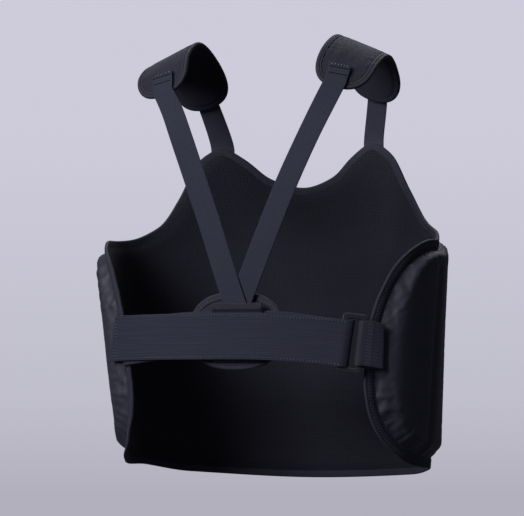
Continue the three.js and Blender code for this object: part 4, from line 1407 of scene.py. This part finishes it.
# %% Ends folded on the pads
STRAP_GAP, GAP = 0.85, 0.3
BACK_ROUTE = [
    {"z": -284, "y": 120.3, "left": -1, "right": -6},
    {"z": -250, "y": 119.5, "left": 11.5, "right": -19.5},
    {"z": -200, "y": 117, "left": 29.3, "right": -39},
    {"z": -150, "y": 111.5, "left": 49, "right": -58.5},
    {"z": -100, "y": 101.5, "left": 70.5, "right": -79},
    {"z": -68, "y": 91, "left": 86, "right": -92},
]
BACK_STRAP = {"width": 25, "thickness": 1.6, "fold": 10, "on_pad": 25, "over_edge": 4, "inward": 4}
STRAP_LIFT = {"left": 2.2, "right": 0, "length": 110}
STRAP_END_Z = -289
# Place and margin of a row of painted shadow under the edge of the strap's folded layer
FOLD_EDGE_SHADOW, FOLD_EDGE_SHADOW_MARGIN = 0.6, 0.03
PAD_THREAD = {"pitch": 3.2, "coarse": 1.35}
back_depth = through(BACK_ROUTE, "z", "y")
PAD_FOLD_STEPS = 8


def pad_crossing(along, inward, width, lift):
    """A strap's edges on the left shoulder pad, shifted towards the neck."""
    return shoulder_point(along, np.array([width / 2 - inward, -width / 2 - inward]), lift)


def folded_on_pad():
    """The strap's end, folded double on the pad, and the place where it leaves over the pad's end."""
    s = BACK_STRAP
    tape_top = SHOULDER_BODY["rim"] + TAPE_GAP + SHOULDER_TAPE["thickness"]
    apart = s["thickness"] + GAP
    start = -SHOULDER_REACH + s["on_pad"]
    end = start - s["fold"]
    at = lambda along, lift: pad_crossing(along, s["inward"], s["width"], lift + s["thickness"] / 2)

    def rest_at(along):
        depth = shoulder_core.nearest(np.array([[along, -s["inward"]]]))[0][0]
        return STRAP_GAP + core_lift(SHOULDER_BODY, SHOULDER_TAPE, depth)

    rows = [at(end, rest_at(end)), at((end + start) / 2, rest_at((end + start) / 2))]
    for k in range(PAD_FOLD_STEPS + 1):
        turn = math.pi * k / PAD_FOLD_STEPS
        rows.append(at(start + apart / 2 * math.sin(turn),
                       rest_at(start) + apart / 2 * (1 - math.cos(turn))))
    rows.append(at((end + start) / 2, rest_at((end + start) / 2) + apart))
    rows.append(at(end, rest_at(end) + apart))
    return rows, at(-SHOULDER_REACH + s["over_edge"], tape_top + LAYER_GAP + GAP)


print("a strap's fold on the pad has", len(folded_on_pad()[0]), "stations")

# %% Back straps
def back_strap(side):
    s = BACK_STRAP
    fold, leaving = folded_on_pad()
    if side == "right":
        fold = [row * (-1, 1, 1) for row in fold]
        leaving = leaving * (-1, 1, 1)
    route = [np.array([row[side], 0, row["z"]], float) for row in BACK_ROUTE]
    across = np.cross(unit(route[0] - route[-1]), (0, 1, 0))
    if across @ (leaving[0] - leaving[1]) < 0:
        across = -across
    down = [leaving]
    patch_z = BACK_ROUTE[0]["z"]
    for centre in route[::-1]:
        edges = crossing(centre, across, s["width"])
        nearness = smooth_step(-centre[2], -patch_z - STRAP_LIFT["length"], -patch_z)
        edges[:, 1] = (back_depth(edges[:, 2] / MM) + s["thickness"] / 2
                       + STRAP_LIFT[side] * nearness) * MM
        down.append(edges)
    run = (down[-1] - down[-2]).mean(0)
    below = (STRAP_END_Z * MM - down[-1][:, 2]) / run[2]
    down.append(down[-1] + below[:, None] * run)
    return np.concatenate([np.array(fold), smooth_band(down, STRAP_STEPS)]), len(fold)


for side in ("left", "right"):
    band, fold_rows = back_strap(side)
    strap = add_band(f"back_strap_{side}_elastic", band, BACK_STRAP["thickness"], STRAP_ELASTIC,
                     "elastic", f"back_strap_{side}")
    outward = 1 if band_normals(band)[-STRAP_STEPS][1] > 0 else -1
    wall, fold_end = BACK_STRAP["thickness"], fold_rows - 3
    # One thread row at the fold, then a row of painted shadow under the folded layer's edge, and a row
    # at the strap's end drawn in painted shade
    stitches = add_stitches(f"back_strap_{side}_stitches", [cross_row(band, fold_end, wall, outward)],
                            **PAD_THREAD, shaded_rows=[
        cross_row(band, fold_end + FOLD_EDGE_SHADOW, wall, outward, FOLD_EDGE_SHADOW_MARGIN),
        cross_row(band, fold_rows - 1, wall, outward)])

# %% [markdown]
# ## The front straps
# A short webbing strap joins each shoulder pad to a tongue of the panel. The view from behind hides
# it, so it is kept plain: flat on the pad, over both bound edges, and sewn down at its ends.

# %% Front straps
FRONT_STRAP = {"width": 25, "thickness": 1.6, "girth": 86, "end_z": -104, "on_pad": 22, "over_edge": 2}
FRONT_ROWS = {"stations": (2, -3, -7), "pitch": 2.4}


def front_strap(side):
    """The strap from the panel's tongue to the pad. Side is 1 on the left and -1 on the right."""
    s = FRONT_STRAP
    tape_top = PANEL["thickness"] + TAPE_GAP + EDGE_TAPE["thickness"] + LAYER_GAP + s["thickness"] / 2
    pad_top = SHOULDER_BODY["height"] + GAP + s["thickness"] / 2
    girths = side * (s["girth"] + np.array([0.5, -0.5]) * s["width"])
    edge_z = float(wrap_cut.upper(np.array(float(side * s["girth"]))))
    at_pad = lambda inset: pad_crossing(SHOULDER_REACH - inset, 0, s["width"], pad_top) * (side, 1, 1)
    return smooth_band([
        wrap_point(girths, s["end_z"], tape_top),
        wrap_point(girths, edge_z + s["over_edge"], tape_top),
        at_pad(s["over_edge"]), at_pad(s["on_pad"])], STRAP_STEPS)


for side, sign in (("left", 1), ("right", -1)):
    band = front_strap(sign)
    strap = add_band(f"front_strap_{side}_webbing", band, FRONT_STRAP["thickness"], WEBBING,
                     "webbing", f"front_strap_{side}")
    outward = 1 if band_normals(band)[0][1] < 0 else -1
    stitches = add_stitches(f"front_strap_{side}_stitches", [
        cross_row(band, station, FRONT_STRAP["thickness"], outward)
        for station in FRONT_ROWS["stations"]], FRONT_ROWS["pitch"])

# %% [markdown]
# ## The ring
# The waist strap is tightened through a moulded ring with two posts and two bars. A grid of three by
# three squares without its middle is already such a frame, so it is only spread to size, thickened,
# rounded at its corners and then along every rim.

# %% Buckle
RING = {"x": -127.5, "y": 103.7, "z": -328, "plan_degrees": 202.5, "lean_degrees": 7}
RING_BODY = {"width": 27, "height": 63.5, "depth": 4, "post": 6.5, "bar": 5.5, "rim": 1}
RING_CORNER = {"outside": 4.2, "inside": 2}
SHARP = math.radians(30)
plan = math.radians(RING["plan_degrees"])
UP = np.array([0.0, 0, 1])
RING_RIGHT = np.array([math.cos(plan), math.sin(plan), 0])
RING_OUT = np.cross(RING_RIGHT, UP)
RING_CENTRE = np.array([RING["x"], RING["y"], RING["z"]], float)
print("the ring faces", RING_OUT.round(2))

# %% Moulding the ring
CORNER_STEPS, RIM_STEPS = 5, 3


def sharp_edges(bm, is_upright):
    """The edges where two faces meet sharply, either those along the ring's depth or the others."""
    found = []
    for edge in bm.edges:
        along = edge.verts[1].co - edge.verts[0].co
        if edge.calc_face_angle(0) > SHARP and (abs(along.z) > 0.5 * along.length) == is_upright:
            found.append(edge)
    return found


def round_off(bm, edges, radius, segments):
    bmesh.ops.bevel(bm, geom=edges, offset=radius, offset_type="OFFSET", segments=segments,
                    profile=0.5, affect="EDGES", material=-1)


def ring_mesh():
    r = RING_BODY
    bm = bmesh.new()
    bmesh.ops.create_grid(bm, x_segments=3, y_segments=3, size=1.5)
    for vert in bm.verts:
        is_outer = abs(vert.co.x) > 1, abs(vert.co.y) > 1
        x = r["width"] / 2 - (0 if is_outer[0] else r["post"])
        y = r["height"] / 2 - (0 if is_outer[1] else r["bar"])
        vert.co.x, vert.co.y = math.copysign(x, vert.co.x), math.copysign(y, vert.co.y)
    slot_face = min(bm.faces, key=lambda face: face.calc_center_median().length)
    bmesh.ops.delete(bm, geom=[slot_face], context="FACES")
    made = bmesh.ops.extrude_face_region(bm, geom=bm.faces[:])["geom"]
    raised = [e for e in made if isinstance(e, bmesh.types.BMVert)]
    bmesh.ops.translate(bm, verts=raised, vec=(0, 0, r["depth"]))
    bmesh.ops.translate(bm, verts=bm.verts[:], vec=(0, 0, -r["depth"] / 2))
    bmesh.ops.recalc_face_normals(bm, faces=bm.faces[:])
    upright = sharp_edges(bm, True)
    outside = [edge for edge in upright if abs(edge.verts[0].co.x) > r["width"] / 2 - 1]
    round_off(bm, outside, RING_CORNER["outside"], CORNER_STEPS)
    round_off(bm, sharp_edges(bm, True), RING_CORNER["inside"], CORNER_STEPS)
    round_off(bm, sharp_edges(bm, False), r["rim"], RIM_STEPS)
    for face in bm.faces:
        face.smooth = True
    basis = Matrix((RING_RIGHT, UP, RING_OUT)).transposed().to_4x4()
    lean = Matrix.Rotation(-math.radians(RING["lean_degrees"]), 4, "Z")
    place = Matrix.Translation(Vector(RING_CENTRE) * MM) @ basis @ lean @ Matrix.Scale(MM, 4)
    bmesh.ops.transform(bm, matrix=place, verts=bm.verts[:])
    return bm


buckle = add_piece("buckle_ring", ring_mesh(), PLASTIC, "plastic", "buckle")
buckle.modifiers.new("even_shade", "WEIGHTED_NORMAL")

# %% [markdown]
# ## The waist strap
# One long ribbed elastic is sewn to the left wing, runs across the back of the guard, turns round
# the ring's near post and comes back over itself to fasten on the left wing again. Its stations lie
# on the wing where it rests, and free in the air along the back.

# %% Turns and wings
BELT = {"width": 50, "thickness": 1.8, "lean_degrees": 9}
BELT_INNER = [(96, 110.4, -321), (60, 117.4, -318.5), (30, 120.6, -317.5), (0, 121.2, -317.5),
              (-30, 120.6, -317.5), (-62, 117.6, -319.5), (-92, 111, -324)]
BELT_OUTER = [(-92, 117.2, -325), (-62, 122.4, -322.5), (-30, 126, -320.5), (0, 126.6, -320),
              (30, 126, -320), (60, 122, -320), (96, 115, -320)]
BELT_SEAM = {"reach": 93, "z": -326, "edge_z": -325}
BELT_END = {"top_reach": 90, "bottom_reach": 78, "z": -320}
BELT_FOLD = {"along": 9, "across": 4.1}
POST_STEPS = 14
tape_top = PANEL["thickness"] + TAPE_GAP + EDGE_TAPE["thickness"]


def turn_round_post(post_side, fold, strap):
    """A strap's turn round one post of the ring, from its inside to its outside."""
    reach = (RING_BODY["width"] - RING_BODY["post"]) / 2
    centre = RING_CENTRE + RING_RIGHT * post_side * reach
    side = UP + RING_RIGHT * math.tan(math.radians(strap["lean_degrees"]))
    return [crossing(centre - RING_RIGHT * post_side * fold["along"] * math.sin(turn)
                     - RING_OUT * fold["across"] * math.cos(turn), side, strap["width"])
            for turn in np.linspace(0, math.pi, POST_STEPS + 1)]


def wing_height(girth, z):
    """How high the edge tape or the pad stands at places on a wing."""
    spots = np.stack(same_shape(girth, z), -1)
    on_pad = np.maximum(tape_top, chest_lift(chest_cut.nearest(spots)[0]))
    return np.where(chest_cut.holds(spots), on_pad, tape_top)


def wing_crossing(wing, reach, z, strap, clearance):
    """A strap's edges on a wing, clear of what lies under it over its whole width."""
    girth, half = SIDE_GIRTH + reach, strap["width"] / 2
    lift = float(wing_height(girth, np.array([z - half, z, z + half])).max()) + clearance
    return wrap_point(wing * girth, z + np.array([half, -half]), lift)


def slanted_end(clearance):
    """The waist strap's end on the left wing, which is sewn down at a slant."""
    girth = SIDE_GIRTH + np.array([BELT_END["top_reach"], BELT_END["bottom_reach"]])
    z = BELT_END["z"] + np.array([0.5, -0.5]) * BELT["width"]
    return wrap_point(girth, z, wing_height(girth, z) + clearance)


print("a strap on the edge tape stands", round(tape_top, 2), "mm off the form")

# %% Waist strap
BELT_STITCH_IN, BELT_END_ROWS, BELT_STEPS = 2.6, (-3, -5), 8
BELT_SWAY = {"height": 0.5, "along": 45, "across": 60, "seed": 5.1}


def waist_strap():
    """The strap's stations, and which of them is the first on the outer layer."""
    near = LAYER_GAP + BELT["thickness"] / 2
    far = near + LAYER_GAP + BELT["thickness"]
    free = lambda row: crossing(row, UP, BELT["width"])
    fold = turn_round_post(-1, BELT_FOLD, BELT)
    inner = [wing_crossing(1, BELT_SEAM["reach"], BELT_SEAM["z"], BELT, near),
             wing_crossing(1, WING["reach"], BELT_SEAM["edge_z"], BELT, near),
             *map(free, BELT_INNER), fold[0]]
    outer = [fold[-1], *map(free, BELT_OUTER),
             wing_crossing(1, WING["reach"], BELT_END["z"], BELT, far), slanted_end(far)]
    inside = np.concatenate([smooth_band(inner, BELT_STEPS), np.array(fold[1:-1])])
    return np.concatenate([inside, smooth_band(outer, BELT_STEPS)]), len(inside)


def belt_sway(along, across):
    """A stretched strap still sways a little between the places that hold it."""
    s = BELT_SWAY
    return s["height"] * noise.noise(Vector((along / s["along"], across / s["across"], s["seed"])))


band, first_outer = waist_strap()
belt = add_band("waist_strap_elastic", band, BELT["thickness"], BELT_ELASTIC, "elastic",
                "waist_strap", columns=20, shape=belt_sway)
stitch_share = BELT_STITCH_IN / BELT["width"]
belt_rows = [band_row(band, share, BELT["thickness"], -1, first_outer, -2)
             for share in (stitch_share, 1 - stitch_share)]
belt_rows += [cross_row(band, station, BELT["thickness"], -1) for station in BELT_END_ROWS]
belt_stitches = add_stitches("waist_strap_stitches", belt_rows)

# %% [markdown]
# ## The webbing tab
# A piece of webbing is folded round the ring's other post, and both of its ends are sewn to the
# right wing with three upright rows of stitches.

# %% Buckle tab
TAB = {"width": 48, "thickness": 1.4, "reach": 86, "z": -331, "lean_degrees": 7, "past_post": 5}
TAB_FOLD = {"along": 5, "across": 4.4}
TAB_INSET, TAB_STEPS = 6, 6
TAB_ROWS = {"stations": (-3, -5, -7), "margin": 0.04}
# Lighter than the other webbing: painted light for a tab that faces away from the broad lamp
TAB_LIT_TONES = (0.035, 0.036, 0.0565), (0.062, 0.064, 0.0965)


def buckle_tab():
    near = LAYER_GAP + TAB["thickness"] / 2
    far = near + LAYER_GAP + TAB["thickness"]
    on_wing = lambda reach, clearance: wing_crossing(-1, reach, TAB["z"], TAB, clearance)
    fold = turn_round_post(1, TAB_FOLD, TAB)
    reaches = TAB["reach"], TAB["reach"] + TAB_INSET, WING["reach"] - TAB_INSET, WING["reach"]
    under = [*(on_wing(reach, near) for reach in reaches), fold[0]]
    past_ring = fold[-1] + RING_RIGHT * TAB["past_post"] * MM
    over = [fold[-1], past_ring, on_wing(TAB["reach"], far)]
    lower, upper = smooth_band(under, TAB_STEPS), smooth_band(over, TAB_STEPS)
    return np.concatenate([lower, np.array(fold[1:-1]), upper]), len(lower)


band, first_turn = buckle_tab()
# The tab's stretch round the ring's post is darkened with painted shade
turn_ends = band_length(band[:first_turn]) / MM, band_length(band[:-TAB_STEPS]) / MM
TAB_WEBBING = cloth_finish("tab_webbing", webbing(TAB_LIT_TONES, turn_ends))
tab = add_band("buckle_tab_webbing", band, TAB["thickness"], TAB_WEBBING, "webbing", "buckle_tab",
               columns=16)
tab_out = 1 if band_normals(band)[-3][1] > 0 else -1
tab_stitches = add_stitches("buckle_tab_stitches", [
    cross_row(band, station, TAB["thickness"], tab_out, TAB_ROWS["margin"])
    for station in TAB_ROWS["stations"]])

# %% [markdown]
# ## The belt loop
# A wide strip is sewn to the patch over the ends of the V straps and again below the waist strap, so
# that the strap's inner layer runs through it. Its hem above the strap is sewn twice, and the free
# corner of the hem curls up a little.

# %% Belt loop
BELT_LOOP = {"x": -4, "width": 58, "thickness": 1.3}
LOOP_ROUTE = [
    {"z": -284, "on": "straps"}, {"z": -290.5, "on": "straps"}, {"z": -293.5, "on": "belt"},
    {"z": -344, "on": "belt"}, {"z": -346, "on": "patch"}, {"z": -348.5, "on": "patch"},
]
LOOP_DRAWN_IN = 0.65
LOOP_STEP = 1.2
LOOP_CURL = {"from": 23, "lift": 1.3, "flat_from": 5.4, "flat_at": 9}
LOOP_ROWS = {"stations": (1, 5, -2), "margin": 0.09}
LOOP_THREAD = {"pitch": 2.9, "coarse": 0.8}


def belt_loop():
    half = BELT_LOOP["thickness"] / 2
    straps = BACK_ROUTE[0]["y"] + BACK_STRAP["thickness"] + STRAP_LIFT["left"] + GAP + half
    level = {"straps": straps,
             "belt": max(row[1] for row in BELT_INNER) + BELT["thickness"] / 2 + GAP + half,
             "patch": PATCH["y"] + PATCH_BODY["height"] + half}
    rows = LOOP_ROUTE[::-1]
    heights = [level[row["on"]] for row in rows]
    heights[0] -= LOOP_DRAWN_IN
    z = np.arange(LOOP_ROUTE[0]["z"], LOOP_ROUTE[-1]["z"] - 0.1, -LOOP_STEP)
    y = np.interp(z, [row["z"] for row in rows], heights)
    return np.array([crossing((BELT_LOOP["x"], *at), (1, 0, 0), BELT_LOOP["width"])
                     for at in zip(y, z)])


def loop_curl(along, across):
    """The hem's free corner stands off towards the viewer."""
    hem = 1 - smooth_step(along, LOOP_CURL["flat_from"], LOOP_CURL["flat_at"])
    return -LOOP_CURL["lift"] * smooth_step(-across, LOOP_CURL["from"], BELT_LOOP["width"] / 2) * hem


band = belt_loop()
loop = add_band("belt_loop_webbing", band, BELT_LOOP["thickness"], LOOP_WEBBING, "webbing",
                "belt_loop", columns=24, shape=loop_curl)
loop_stitches = add_stitches("belt_loop_stitches", [
    cross_row(band, station, BELT_LOOP["thickness"], -1, LOOP_ROWS["margin"])
    for station in LOOP_ROWS["stations"]], **LOOP_THREAD)
